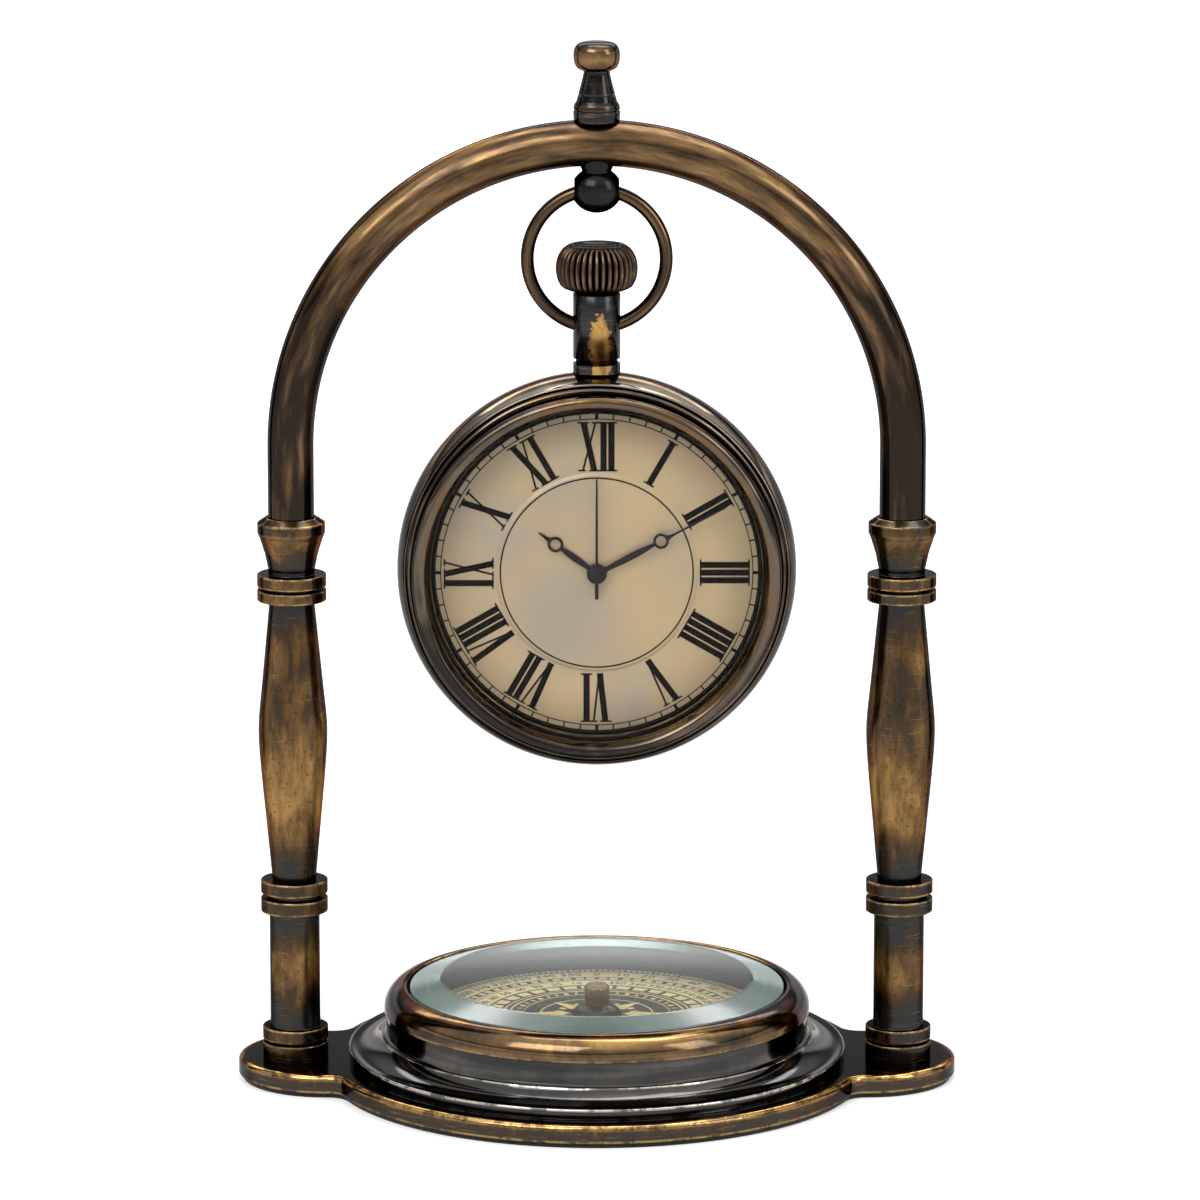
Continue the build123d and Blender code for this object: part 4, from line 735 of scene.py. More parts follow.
def shape_arch(stand):
    """The bent rod, the finial on it, and the dark ball under it."""
    spread, halfway = COLUMN_SPREAD, (ARCH_FOOT + ARCH_CENTRE) / 2
    turns = [pi * (1 - step / ARCH_STEPS) for step in range(ARCH_STEPS + 1)]
    bend = [(spread * cos(turn), 0, ARCH_CENTRE + spread * sin(turn)) for turn in turns]
    legs = [[(side * spread, 0, height) for height in (ARCH_FOOT, halfway)] for side in (-1, 1)]
    points = legs[0] + bend + legs[1][::-1]
    span = 2 * (ARCH_CENTRE - ARCH_FOOT) + pi * spread
    tones = ("#21170e", "#3b2b1b", "#57422c", "#6f5636", "#8c7149")
    metal = rod_patina("Brass rod, bent, streaked patina", tones, span, 1.7, -0.58, 0.04)
    rod = made_by(
        rod_tree(), new_object("arch_path", poly_curve("arch_path", [points], "3D")),
        {"Rod radius": stand.rod_radius, "Sides": 64, "Material": metal}, "arch_rod_dressed", 50,
    )
    dress(rod, "stand", "arch", "arch_rod")

    # The finial: a cone with fine turned lines, then a flattened knob
    metal = patinated_brass(
        "Cast brass, turned, near-black patina", ("#1b1b1a", "#2b2723", "#54402a", "#80613a"), 4, 0.2,
        (0.14, 0.26), lacquer=0.3, edge="#57493a", wear=0.5, scratches=0.05, centre=(0, 0, 220), seed=0.4,
        oxide=0.35,
    )
    corners = [(0, FINIAL_FOOT)]
    corners += [(radius, FINIAL_FOOT + height, *more) for radius, height, *more in FINIAL_CONE]
    corners += smooth_run([(radius, FINIAL_FOOT + height, tone) for radius, height, tone in FINIAL_KNOB], 3)
    corners += [(0, 228.0, 0, 0.2)]
    turned_piece("finial", "stand", "arch", profile(corners, 0.1, False), metal, closed=False)

    # The ball is turned about its own bore, so that the bow's hole is part of it
    ball, half_length, throat, lip, reach = 4.95, 5.45, 1.62, 2.32, 4.82
    mouth = asin(2.5 / ball)
    turns = [mouth + (pi - 2 * mouth) * i / 36 for i in range(37)]
    around = [(ball * sin(turn), -half_length * cos(turn)) for turn in turns]
    flare = [(2.4, reach), (lip, reach - 0.05), (1.95, 3.5)]
    bore = [*flare, (throat, 0.9), (throat, -0.9), *[(r, -x) for r, x in reversed(flare)]]
    shape = [(r, x, 0.3, 0.0) for r, x in around] + [(r, x, 0.1, 0.0) for r, x in bore]
    metal = speckled(
        "Brass ball, polished, black nickel", "#202021", "#2b2b2c", 6, 0.22, metallic=1.0, relief=0.05,
        **{"Specular Tint": linear("#4a4846")},
    )
    body = turned("ball_body", shape, metal, sides=72, sharp=40)
    body.data.transform(Matrix.Translation((0, 0, BALL_CENTRE * MM)) @ Matrix.Rotation(pi / 2, 4, "Y"))
    neck = ((0, 3.2), (3.1, 3.2), (3.15, 4.2, 0.4), (3.45, 4.9, 0.4), (3.6, 6.6), (0, 6.6))
    neck = profile([(radius, BALL_CENTRE + height, *more) for radius, height, *more in neck], 0.2, False)
    collar = turned("ball_collar", neck, metal, sides=72, closed=False)
    dress(joined("hanger_ball_dressed", [body, collar]), "stand", "dark_ball", "hanger_ball")


NECK_RADIUS = 3.3
WIRE_RADIUS = 1.42 * MM
BOW_STEPS = 120


def shape_bow():
    """The watch's bow: a wire ring, open where it enters the neck."""
    gap = asin(NECK_RADIUS / BOW_RADIUS)
    turns = [-pi / 2 + gap + (2 * pi - 2 * gap) * step / BOW_STEPS for step in range(BOW_STEPS + 1)]
    points = [(BOW_RADIUS * cos(turn), 0, BOW_CENTRE + BOW_RADIUS * sin(turn)) for turn in turns]
    tones = ("#241e1a", "#3a2d20", "#55412b", "#745b38")
    metal = rod_patina("Brass wire, drawn, brown patina", tones, 2 * pi * BOW_RADIUS, 4.3, -0.2, 0.05)
    ring = made_by(
        rod_tree(), new_object("bow_path", poly_curve("bow_path", [points], "3D")),
        {"Rod radius": WIRE_RADIUS, "Sides": 32, "Material": metal}, "bow_dressed", 50,
    )
    dress(ring, "bow", "bow", "bow")


def shape_neck():
    """The pendant tube and its collar, drilled for the bow by the CAD solids."""
    metal = patinated_brass(
        "Brass tube, turned, gunmetal with a rubbed front", ("#2a2b2b", "#383431", "#765a33", "#a98545"),
        5, 0.3, (0.24, 0.34), stretch=(1, 1, 0.5), seed=0.77, patch=((1.0, -5.0, 161.5), (2.5, 4.0, 9.0)),
    )
    for node in ("pendant_tube", "pendant_collar"):
        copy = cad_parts[node].data.copy()
        dress(new_object(f"{node}_dressed", finish_mesh(copy, 30), metal), "watch", "neck", node)


def flute_tree():
    """Rounded ridges pressed into a turned body, as deep as its tone attribute says."""
    tree, add, given = tree_with("Fluted crown", ("Flutes", "Float"), ("Depth", "Float"))
    parts = add("ShaderNodeSeparateXYZ", (add("GeometryNodeInputPosition"),)).node.outputs
    angle = add("ShaderNodeMath", (parts[1], parts[0]), operation="ARCTAN2")
    turn = add("ShaderNodeMath", (angle, 2 * pi), operation="DIVIDE")
    ridge = add("ShaderNodeMath", (turn, given["Flutes"]), operation="MULTIPLY")
    ridge = add("ShaderNodeMath", (ridge, 0.5, -0.5), operation="WRAP")
    ridge = add("ShaderNodeMath", (ridge, 2.0), operation="MULTIPLY")
    ridge = add("ShaderNodeMath", (ridge,), operation="ABSOLUTE")
    valley = add("ShaderNodeMath", (ridge, 1.7), operation="POWER")
    share = add("GeometryNodeInputNamedAttribute", {"Name": "tone"}, data_type="FLOAT")
    deep = add("ShaderNodeMath", (valley, given["Depth"]), operation="MULTIPLY")
    deep = add("ShaderNodeMath", (deep, share), operation="MULTIPLY")
    kept = {"Geometry": given["Geometry"], "Name": "valley", "Value": valley}
    kept = add("GeometryNodeStoreNamedAttribute", kept, **PER_POINT)
    inward = add("ShaderNodeCombineXYZ", (parts[0], parts[1], 0.0))
    inward = add("ShaderNodeVectorMath", (inward,), operation="NORMALIZE")
    push = add("ShaderNodeMath", (deep, -1.0), operation="MULTIPLY")
    offset = add("ShaderNodeVectorMath", {0: inward, "Scale": push}, operation="SCALE")
    close_tree(add, given, add("GeometryNodeSetPosition", {"Geometry": kept, "Offset": offset}))
    return tree


def fluted_brass():
    """Brass crown, fluted: dark in its valleys, lighter along its ridges."""
    material, add = new_material("Brass, turned and fluted, brown patina")
    valley, fluted, worn = (
        add("ShaderNodeAttribute", attribute_name=label, out="Fac") for label in ("valley", "tone", "worn")
    )
    spot = add("ShaderNodeTexCoord", out="Object")
    clouds = add("ShaderNodeTexNoise", {"Vector": spot, "Scale": per_mm(4), "Detail": 4.0})
    # Lighter along the ridges' crests, browner on their flanks
    crest = add("ShaderNodeMapRange", (valley, 0.0, 0.12, 0.08, -0.1))
    clouds = add("ShaderNodeMath", (clouds, crest), operation="ADD")
    stops = [(0.3, linear("#352b24")), (0.5, linear("#544230")), (0.72, linear("#7e6545"))]
    ridge = add("ShaderNodeValToRGB", (clouds,), stops=stops)
    hollow = add("ShaderNodeMapRange", (valley, 0.12, 0.55, 0.0, 0.92))
    hollow = add("ShaderNodeMath", (hollow, fluted), operation="MULTIPLY")
    plain = add("ShaderNodeMapRange", (fluted, 0.0, 0.25, 1.0, 0.0))
    tint = add("ShaderNodeMix", {0: hollow, 6: ridge, 7: linear("#1b1512")}, **OF_COLOURS)
    flat = add("ShaderNodeMix", {0: worn, 6: linear("#232120"), 7: linear("#45413d")}, **OF_COLOURS)
    return surface(material, add, {
        "Base Color": add("ShaderNodeMix", {0: plain, 6: tint, 7: flat}, **OF_COLOURS),
        "Metallic": 1.0,
        "Roughness": 0.27,
        "Coat Weight": 0.12,
        "Coat Roughness": 0.15,
        "Specular Tint": linear("#6d5f50"),
    })


CROWN_BASE, CROWN_HEIGHT, CROWN_RADIUS = 174.3, 10.0, 8.8
# The crown's side: share of its radius, height above its base, depth of the flutes
CROWN_SIDE = (
    (0.68, 0.15, 0.5), (0.86, 0.9, 1.0), (0.96, 2.4, 1.0), (1.0, 4.7, 1.0), (0.965, 7.0, 1.0),
    (0.87, 8.6, 1.0), (0.76, 9.5, 0.45), (0.7, 9.85, 0.0),
)


def shape_crown(watch):
    """The winding crown, fluted round its side and dished on top."""
    base, top, radius = CROWN_BASE, CROWN_BASE + CROWN_HEIGHT, CROWN_RADIUS
    side = smooth_run([(share * radius, base + height, flute) for share, height, flute in CROWN_SIDE], 4)
    dish = [(0.62 * radius, top, 0.35, 0.0), (4.95, top, 0.25, 0.0), (4.6, top - 0.55, 0, 0.0),
            (1.5, top - 0.8, 0, 0.0), (0, top - 0.85, 0, 0.0)]
    under = [(0, base), (1.3, base), (0.62 * radius, base, 0, 0.0)]
    metal = fluted_brass()
    body = turned(
        "crown_body", profile(under + side + dish, 0.0, False), metal, sides=watch.flutes * 8, closed=False
    )
    values = {"Flutes": float(watch.flutes), "Depth": watch.flute_depth, "Material": metal}
    dress(made_by(flute_tree(), body, values, "crown_dressed", 60), "crown", "crown", "crown")


# The watch's pieces are turned about an axis that runs back through its middle
ON_WATCH = {"centre": (0, WATCH_CENTRE), "across": True}
watch_brass = partial(patinated_brass, centre=(0, 0, WATCH_CENTRE), turned_on="Y")
CASE_SIDES = 160


def shape_case():
    """The case band, the bezel and the back cover, with their long soft curves."""
    tones = ("#1c1815", "#392f27", "#61564b", "#8a8278", "#8f7650")
    roll_tones = ("#1c1815", "#31281f", "#564b3f", "#5d472e", "#8a6b42")
    round_case = {**ON_WATCH, "sides": CASE_SIDES}
    case = watch_brass(
        "Brass case, turned, polished gunmetal patina", tones, 24, 0.14, (0.08, 0.14), lacquer=0.3, seed=0.13,
        edge="#7d6a52", round_bands=0.32, band=3.0, wear=0.4, scratches=0.02, detail=2.0, oxide=0.15,
    )
    roll = watch_brass(
        "Brass bezel, turned, rubbed brown patina", roll_tones, 22, 0.2, (0.08, 0.14), lacquer=0.3, seed=0.52,
        edge="#94784c", round_bands=0.36, band=3.0, wear=0.6, scratches=0.02, detail=2.0, oxide=0.2,
    )
    band = [
        (38.45, 7.0), (38.45, -2.2), (36.65, -2.2), (36.65, -4.2), (41.0, -4.2), (41.02, -6.9, 0, 0),
        (41.2, -7.5, 0.1, 0.3, 0.1), (41.5, -7.45, 0.2, 0.45, 0.0),
        *arc_through((41.7, -7.2), (43.1, -2.4), (41.2, 6.6), 26, 0.4), (40.8, 7.0, 0.2, 0.3),
    ]
    turned_piece("case_band", "watch", "case", profile(band, 0.3), case, **round_case, sway=0.26)
    bezel = [
        (37.65, -4.2), (37.65, -10.6), (36.5, -10.6), (36.5, -11.2, 0.25, 0.6),
        *arc_through((36.85, -12.0), (38.0, -12.9), (39.45, -10.6), 18, 0.44),
        (39.65, -8.9, 0.3, 0.0), (39.9, -8.1, 0.1, 0.0), (40.2, -8.65, 0.25, 0.45, 0.2),
        (40.8, -8.2, 0.3, 0.35, 0.0), (40.9, -7.0, 0, 0.1), (40.9, -4.2),
    ]
    turned_piece("front_bezel", "watch", "case", profile(bezel, 0.3), roll, **round_case, sway=0.12)
    cover = [
        (38.3, 7.04), (40.8, 7.04, 0.25, 0.4),
        *arc_through((40.9, 7.6), (39.9, 11.4), (36.6, 14.4), 14, 0.4),
        *arc_through((34.5, 14.9), (18, 15.9), (0, 16.2), 14, 0.4),
        (0, 13.6), (35.2, 13.6), (36.9, 11.4), (36.9, 4.0), (38.3, 4.0),
    ]
    back = watch_brass(
        "Brass back cover, turned, dark polished patina", tones, 16, 0.16, (0.1, 0.18), lacquer=0.3,
        seed=0.31, edge="#7d6a52", round_bands=0.1, band=2.0, wear=0.4, scratches=0.03, base_tone=-0.16,
        detail=5.0, oxide=0.3,
    )
    cover = profile(cover, 0.3, False)
    turned_piece("back_cover", "back_cover", "case", cover, back, **round_case, closed=False)

    # A black step next to the dial, then a brown slope up to the glass
    ring = [(37.5, -5.0, 0, 0.1), (37.5, -9.0, 0, 0.3), (36.62, -9.0, 0.1, 0.35), (36.0, -6.55, 0.1, 0.3),
            (35.7, -6.3, 0.1, 0.0), (35.35, -5.0, 0, 0.0)]
    dark = watch_brass(
        "Brass ring, turned, dark brown patina", ("#15110d", "#3a2d20", "#6b5435"), 12, 0.15, (0.25, 0.35),
        lacquer=0.1, seed=0.3, round_bands=0.1, band=1.5, wear=0.3, scratches=0.0, detail=2.0, oxide=0.1,
    )
    turned_piece("rehaut_ring", "watch", "dark_ring", profile(ring, 0.2), dark, **round_case)
    glass = [(0, -10.6), (36.9, -10.6), (37.45, -10.2), (37.45, -9.0), (0, -9.0)]
    clear = clear_glass("Mineral glass, flat, coated", "#fbfdfc", bend=1.12, mirror=0.02)
    turned_piece("crystal", "watch", "crystal", profile(glass, 0, False), clear, **round_case, closed=False)


DIAL_FRONT, CENTRE_RISE = -5.0, 0.3


def on_dial(front):
    """Turns a flat drawing, x right and y up, to face the viewer at this depth."""
    return Matrix.Translation((0, front * MM, WATCH_CENTRE * MM)) @ Matrix.Rotation(pi / 2, 4, "X")


def clockwise(points, turn):
    """Points of a drawing, turned clockwise about its middle."""
    return [(x * cos(turn) + y * sin(turn), -x * sin(turn) + y * cos(turn)) for x, y in points]


def inked(name, polygons, material):
    """Thin raised ink: each polygon is (points, thickness), lying in the XY plane."""
    verts, faces = [], []
    for points, thickness in polygons:
        base, size = len(verts), len(points)
        verts += [(x * MM, y * MM, 0) for x, y in points]
        verts += [(x * MM, y * MM, thickness * MM) for x, y in points]
        faces.append(tuple(range(base + size, base + 2 * size)))
        faces.append(tuple(reversed(range(base, base + size))))
        for i in range(size):
            j = (i + 1) % size
            faces.append((base + i, base + j, base + size + j, base + size + i))
    mesh = new_mesh(name, verts, faces)
    mesh.validate()
    return new_object(name, mesh, material)


# The numerals' stroke widths, the space between letters, and their serifs, in millimetres
THICK, THIN, GAP, SERIF, OVERHANG = 1.36, 0.44, 0.32, 0.36, 0.58
LETTER_WIDTH = {"I": THICK, "V": 4.1, "X": 4.3}
# Ink lies in three heights, so that no two faces share a plane
THIN_INK, THICK_INK, SERIF_INK = 0.044, 0.05, 0.058
HOURS = ("XII", "I", "II", "III", "IIII", "V", "VI", "VII", "VIII", "IX", "X", "XI")


def numeral_strokes(word, height):
    """Polygons of a roman hour numeral, centred, from its feet at y = 0 to its head."""
    x = -(sum(LETTER_WIDTH[letter] for letter in word) + GAP * (len(word) - 1)) / 2
    head = height - SERIF
    strokes = []

    def bar(foot_x, head_x, wide, ink):
        low, high = 0.1, height - 0.1
        corners = [(foot_x, low), (foot_x + wide, low), (head_x + wide, high), (head_x, high)]
        strokes.append((corners, ink))

    def serif(left, right, low):
        corners = [(left, low), (right, low), (right, low + SERIF), (left, low + SERIF)]
        strokes.append((corners, SERIF_INK))

    def close_run(run, right_share):
        """Letters I that stand together share their serifs."""
        for low in (0, head) if run else ():
            serif(run[0] - OVERHANG, run[1] + OVERHANG * right_share, low)

    run = None
    for letter in word:
        wide = LETTER_WIDTH[letter]
        if letter == "I":
            bar(x, x, THICK, THICK_INK)
            run = (run[0] if run else x, x + wide)
        else:
            close_run(run, 0.5)
            run = None
        if letter == "V":
            bar(x + wide * 0.5 - 0.5, x + 0.35, THICK, THICK_INK)
            bar(x + wide * 0.5 + 0.1, x + wide - 0.75, THIN, THIN_INK)
            serif(x + wide * 0.5 - 0.6, x + wide * 0.5 + 0.75, 0)
            serif(x - 0.35, x + 0.35 + THICK + 0.45, head)
            serif(x + wide - 1.35, x + wide + 0.15, head)
        if letter == "X":
            bar(x + wide - THICK - 0.3, x + 0.3, THICK, THICK_INK)
            bar(x + 0.62, x + wide - 0.95, THIN, THIN_INK)
            serif(x - 0.15, x + 1.5, 0)
            serif(x + wide - THICK - 0.75, x + wide + 0.3, 0)
            serif(x - 0.35, x + THICK + 0.75, head)
            serif(x + wide - 1.55, x + wide, head)
        x += wide + GAP
    close_run(run, 1)
    return strokes


def tick_tree():
    """Ticks round a circle. Every so many is heavy."""
    tree, add, given = tree_with(
        "Ticks round a circle", ("Count", "Int"), ("Radius", "Float"), ("Width", "Float"),
        ("Length", "Float"), ("Thickness", "Float"), ("Heavy every", "Int"), ("Heavy share", "Float"),
    )
    ring = add("GeometryNodeMeshCircle", {"Vertices": given["Count"], "Radius": given["Radius"]})
    size = add("ShaderNodeCombineXYZ", (given["Length"], given["Width"], given["Thickness"]))
    tick = add("GeometryNodeMeshCube", {"Size": size})
    number = add("GeometryNodeInputIndex")
    step = add("ShaderNodeMath", (2 * pi, given["Count"]), operation="DIVIDE")
    turn = add("ShaderNodeMath", (number, step), operation="MULTIPLY")
    turn = add("ShaderNodeCombineXYZ", {2: turn})
    place = add("ShaderNodeMath", (number, given["Heavy every"]), operation="MODULO")
    light = add("ShaderNodeMath", (place, 0.5), operation="GREATER_THAN")
    wide = add("ShaderNodeMapRange", {0: light, 3: given["Heavy share"], 4: 1.0})
    scale = add("ShaderNodeCombineXYZ", (1.0, wide, 1.0))
    sockets = {"Points": ring, "Instance": tick, "Rotation": turn, "Scale": scale}
    close_tree(add, given, add("GeometryNodeInstanceOnPoints", sockets))
    return tree


TICK_HEIGHT = 0.08


def ring_of_ticks(tree, name, number, radius, wide, long, every, share, ink, sharp=32):
    """Printed ticks round a circle, in millimetres, in the XY plane."""
    values = {
        "Count": number, "Radius": radius * MM, "Width": wide * MM, "Length": long * MM,
        "Thickness": TICK_HEIGHT * MM, "Heavy every": every, "Heavy share": share, "Material": ink,
    }
    return made_by(tree, new_object(name, bpy.data.meshes.new(name)), values, name, sharp)


def flat_ring(name, inner, outer, thickness, material, sides=180):
    """A thin printed ring in the XY plane, standing up from z = 0."""
    points = [(inner, 0, 0, 0), (outer, 0, 0, 0), (outer, thickness, 0, 0), (inner, thickness, 0, 0)]
    return turned(name, points, material, sides=sides)


def dial_finish(watch):
    """Brass dial, silvered and lacquered: soft champagne clouds with dull grey patches, and a painted shadow
    of the bezel near its rim.
    """
    material, add = new_material("Brass dial, silvered, aged satin lacquer")
    grey, plane, dull_size = tuple(watch.dial_grey), (1, 0, 1), 15
    spot = add("ShaderNodeTexCoord", out="Object")
    spot = add("ShaderNodeMapping", (spot, (0, 0, -WATCH_CENTRE * MM)))
    shape = {"Scale": per_mm(30), "Detail": 4.0, "Roughness": 0.55, "Distortion": 0.3}
    clouds = add("ShaderNodeTexNoise", {"Vector": spot, **shape})
    stops = [(0.34, grey), (0.5, tuple(watch.dial)), (0.7, linear("#a68d6b"))]
    tint = add("ShaderNodeValToRGB", (clouds,), stops=stops)
    # The middle has dulled below left
    place = [m / dull_size for m in (7, 0, 10)]
    dull = add("ShaderNodeMapping", {0: spot, 1: place, 3: [per_mm(dull_size)] * 3})
    dull = add("ShaderNodeVectorMath", (dull, plane), operation="MULTIPLY")
    dull = add("ShaderNodeVectorMath", (dull,), operation="LENGTH", out="Value")
    dull = add("ShaderNodeMapRange", (dull, 0.35, 1.1, 0.85, 0.0), interpolation_type="SMOOTHSTEP")
    tint = add("ShaderNodeMix", {0: dull, 6: tint, 7: grey}, **OF_COLOURS)
    # Painted shadow: the dial darkens towards the rim, where the bezel shades it
    away = add("ShaderNodeVectorMath", (spot, plane), operation="MULTIPLY")
    away = add("ShaderNodeVectorMath", (away,), operation="LENGTH", out="Value")
    toned = add("ShaderNodeMapRange", (away, 26 * MM, 36 * MM, 0.0, 0.5))
    grain = add("ShaderNodeTexNoise", {"Vector": spot, "Scale": per_mm(1.2), "Detail": 3.0})
    return surface(material, add, {
        "Base Color": add("ShaderNodeMix", {0: toned, 6: tint, 7: linear("#5f503c")}, **OF_COLOURS),
        "Metallic": 0.45,
        "Roughness": add("ShaderNodeMapRange", (grain, *MOST, 0.42, 0.55)),
        "Normal": add("ShaderNodeBump", {"Height": grain, "Strength": 0.08, "Distance": MARK_DEPTH}),
        "Coat Weight": 0.2,
        "Coat Roughness": 0.3,
    })


LINE_INK = 0.045


def shape_dial(watch):
    """The dial with its raised middle, the hour numerals, the minute track and the ring."""
    disc = [
        (1.9, -4.2), (37.5, -4.2), (37.5, DIAL_FRONT), (21.9, DIAL_FRONT, 0.1),
        (21.3, DIAL_FRONT - CENTRE_RISE, 0.15), (1.9, DIAL_FRONT - CENTRE_RISE),
    ]
    turned_piece("dial", "watch", "dial", profile(disc), dial_finish(watch), **ON_WATCH, sides=180)
    ink = speckled(
        "Black enamel ink, pad printed", watch.ink, "#141211", 1.5, 0.6, relief=0.0,
        **{"Specular IOR Level": 0.0},
    )
    foot, head = watch.numeral_foot / MM, watch.numeral_head / MM
    polygons = []
    for hour, word in enumerate(HOURS):
        for points, thickness in numeral_strokes(word, head - foot):
            polygons.append((clockwise([(x, y + foot) for x, y in points], radians(30 * hour)), thickness))
    inner = watch.track_radius / MM
    outer = inner + 1.15
    ticks = (60, (inner + outer) / 2, 0.32, outer - inner, 5, 2.2, ink, 30)
    prints = (
        (inked("dial_numerals", polygons, ink), 0),
        (joined("minute_track", [
            ring_of_ticks(tick_tree(), "minute_ticks", *ticks),
            flat_ring("track_inner", inner - 0.11, inner + 0.11, LINE_INK, ink),
            flat_ring("track_outer", outer - 0.05, outer + 0.6, LINE_INK, ink),
        ]), 0),
        (flat_ring("centre_line", 20.62, 20.94, LINE_INK, ink), CENTRE_RISE),
    )
    for obj, rise in prints:
        obj.data.transform(on_dial(DIAL_FRONT - rise))
        dress(obj, "watch", "dial")


TIP = 0.33


def hand_outline(hub, eye_at, eye, reach, belly, root):
    """The right half of a hand, from the hub's bottom to its tip."""
    half = [(hub * sin(radians(a)), -hub * cos(radians(a))) for a in range(0, 166, 11)]
    waist = eye_at - sqrt(eye ** 2 - TIP ** 2)
    for t in (step / 12 for step in range(1, 13)):
        wide = root * (1 - t) + TIP * t + (belly - root) * sin(pi * t ** 1.15) ** 1.2
        half.append((wide, hub * 0.97 + (waist - hub * 0.97) * t))
    start = asin(TIP / eye)
    for step in range(1, 22):
        turn = start + (pi - start - 0.36) * step / 21
        half.append((eye * sin(turn), eye_at - eye * cos(turn)))
    top = eye_at + eye
    return half + [(0.3, top + 0.75), (0.17, top + 1.7), (0.13, (top + reach) / 2 + 1), (0.05, reach)]


def flat_plate(name, outlines, thickness, bevel, material):
    """A flat plate cut from outlines in the XY plane, inner ones as holes, edges eased."""
    curve = poly_curve(name, outlines, "2D", True)
    curve.fill_mode = "BOTH"
    curve.extrude = (thickness / 2 - bevel) * MM
    curve.bevel_depth = bevel * MM
    curve.bevel_resolution = 1
    mesh = evaluated_mesh(new_object(name, curve), name)
    return new_object(name, finish_mesh(mesh, 40), material)


def circle_points(y, radius, steps=36):
    turns = [2 * pi * i / steps for i in range(steps)]
    return [(radius * cos(turn), y + radius * sin(turn)) for turn in turns]


def shape_hands(watch):
    """Black hands with open eyes, and a plain seconds hand with a tail."""
    black = speckled(
        "Steel, stamped, black lacquer", watch.hands, "#1f1c1d", 2.5, 0.4, relief=0.05,
        **{"Specular IOR Level": 0.1},
    )
    pairs = (
        ("hour_hand", "hour_works", 10.9, 15.4, 305.5, -6.1, 1.62),
        ("minute_hand", "minute_works", 15.6, 31.5, 62.3, -7.0, 1.02),
    )
    for node, body, eye_at, reach, angle, front, bore in pairs:
        half = hand_outline(2.1, eye_at, 1.62, reach, 0.72, 0.42)
        outline = half + [(-x, y) for x, y in reversed(half[1:])]
        holes = [circle_points(eye_at, 1.18), circle_points(0, bore)]
        hand = flat_plate(f"{node}_dressed", [outline, *holes], 0.4, 0.06, black)
        hand.data.transform(on_dial(front + 0.2) @ Matrix.Rotation(-radians(angle), 4, "Z"))
        dress(hand, body, "hands", node)
    side = [(0.3, -5.3), (0.36, -4.9), (0.3, -1.2)]
    side += [(1.5 * cos(radians(d)), 1.5 * sin(radians(d))) for d in range(-65, 76, 10)]
    side += [(0.24, 2.2), (0.2, 12.0), (0.14, 20.9)]
    hand = flat_plate("second_hand_blade", [side + [(-x, y) for x, y in reversed(side)]], 0.3, 0.05, black)
    hand.data.transform(on_dial(-7.7))
    cap = [(0, 0), (1.95, 0), (1.95, 0.25, 0.15), (1.25, 0.5, 0.3), (1.05, 0.45, 0.1), (0, 0.62)]
    boss = turned("second_hand_boss", profile(cap, 0, False), black, sides=48, closed=False)
    boss.data.transform(on_dial(-7.75))
    dress(joined("second_hand_dressed", [hand, boss]), "second_works", "hands", "second_hand")


GLASS_BASE, BEVEL_START = 17.3, 34.4
BOWL_SIDES = 192


def shape_compass(compass):
    """The turned bowl, its rounded bezel and the bevelled glass."""
    # Its pale grey rims are rubbed metal with a painted highlight along them
    black = patinated_brass(
        "Spun brass, polished, black patina", ("#222223", "#323130", "#4b4642", "#6b6052"), 18, 0.25,
        (0.06, 0.13), lacquer=0.5, edge="#b5aca0", wear=1.0, scratches=0.02, round_bands=0.3, band=2.0,
        detail=3.0, oxide=0.2,
    )
    bowl = [
        (0, 5.0), (54.3, 5.0, 0.2, 0.2), (54.3, 7.28, 0.3, 0.3),
        *arc_through((53.7, 7.35), (49.7, 7.75), (47.4, 9.6), 12, 0.2),
        (47.15, 10.0, 0.15, 0.4), (46.5, 10.15, 0.1, 0.3), (46.2, 10.5, 0.2, 0.2), (46.05, 12.5, 0, 0.3),
        (46.3, 15.2), (42.6, 15.2), (42.6, 7.5), (0, 7.5),
    ]
    bowl = profile(bowl, 0.2, False)
    turned_piece("compass_bowl", "stand", "bowl", bowl, black, sides=BOWL_SIDES, closed=False)
    finish_node("compass_seat_ring", black)
    rolled = patinated_brass(
        "Spun brass bezel, rubbed bronze patina", ("#22201e", "#3e342a", "#685033", "#957342"), 14, 0.25,
        (0.1, 0.2), lacquer=0.3, seed=0.9, edge="#a58555", wear=0.6, scratches=0.03, round_bands=0.25,
        band=2.4, base_tone=0.1, detail=3.0, oxide=0.3,
    )
    roll = [
        (44.5, 15.2), (44.5, 17.3), (41.6, 17.3), (41.6, 20.45, 0.15, 0.3),
        *arc_through((42.1, 20.68), (45.1, 19.35), (46.55, 16.0), 16, 0.55),
        (46.6, 15.3, 0.3, 0.2), (46.3, 15.2),
    ]
    turned_piece("compass_bezel", "stand", "bowl_bezel", profile(roll, 0.4), rolled, sides=BOWL_SIDES)
    clear = clear_glass("Plate glass, float, polished", "#f5f8f5")
    ground = clear_glass("Plate glass, ground bevel", compass.glass_edge, 0.15, 0.75, mirror=0.0)
    glass = [(0, GLASS_BASE), (40.9, GLASS_BASE, 0.1), (40.9, 20.5, 0.3), (34.3, 22.4, 0.8), (0, 22.4)]
    shape = turned_piece(
        "compass_glass", "stand", "compass_glass", profile(glass, 0, False), clear, sides=BOWL_SIDES,
        closed=False, sharp=12,
    )
    shape.data.materials.append(ground)
    for face in shape.data.polygons:
        radius = Vector(face.center[:2]).length / MM
        if radius > BEVEL_START and face.center.z / MM > GLASS_BASE + 0.05:
            face.material_index = 1


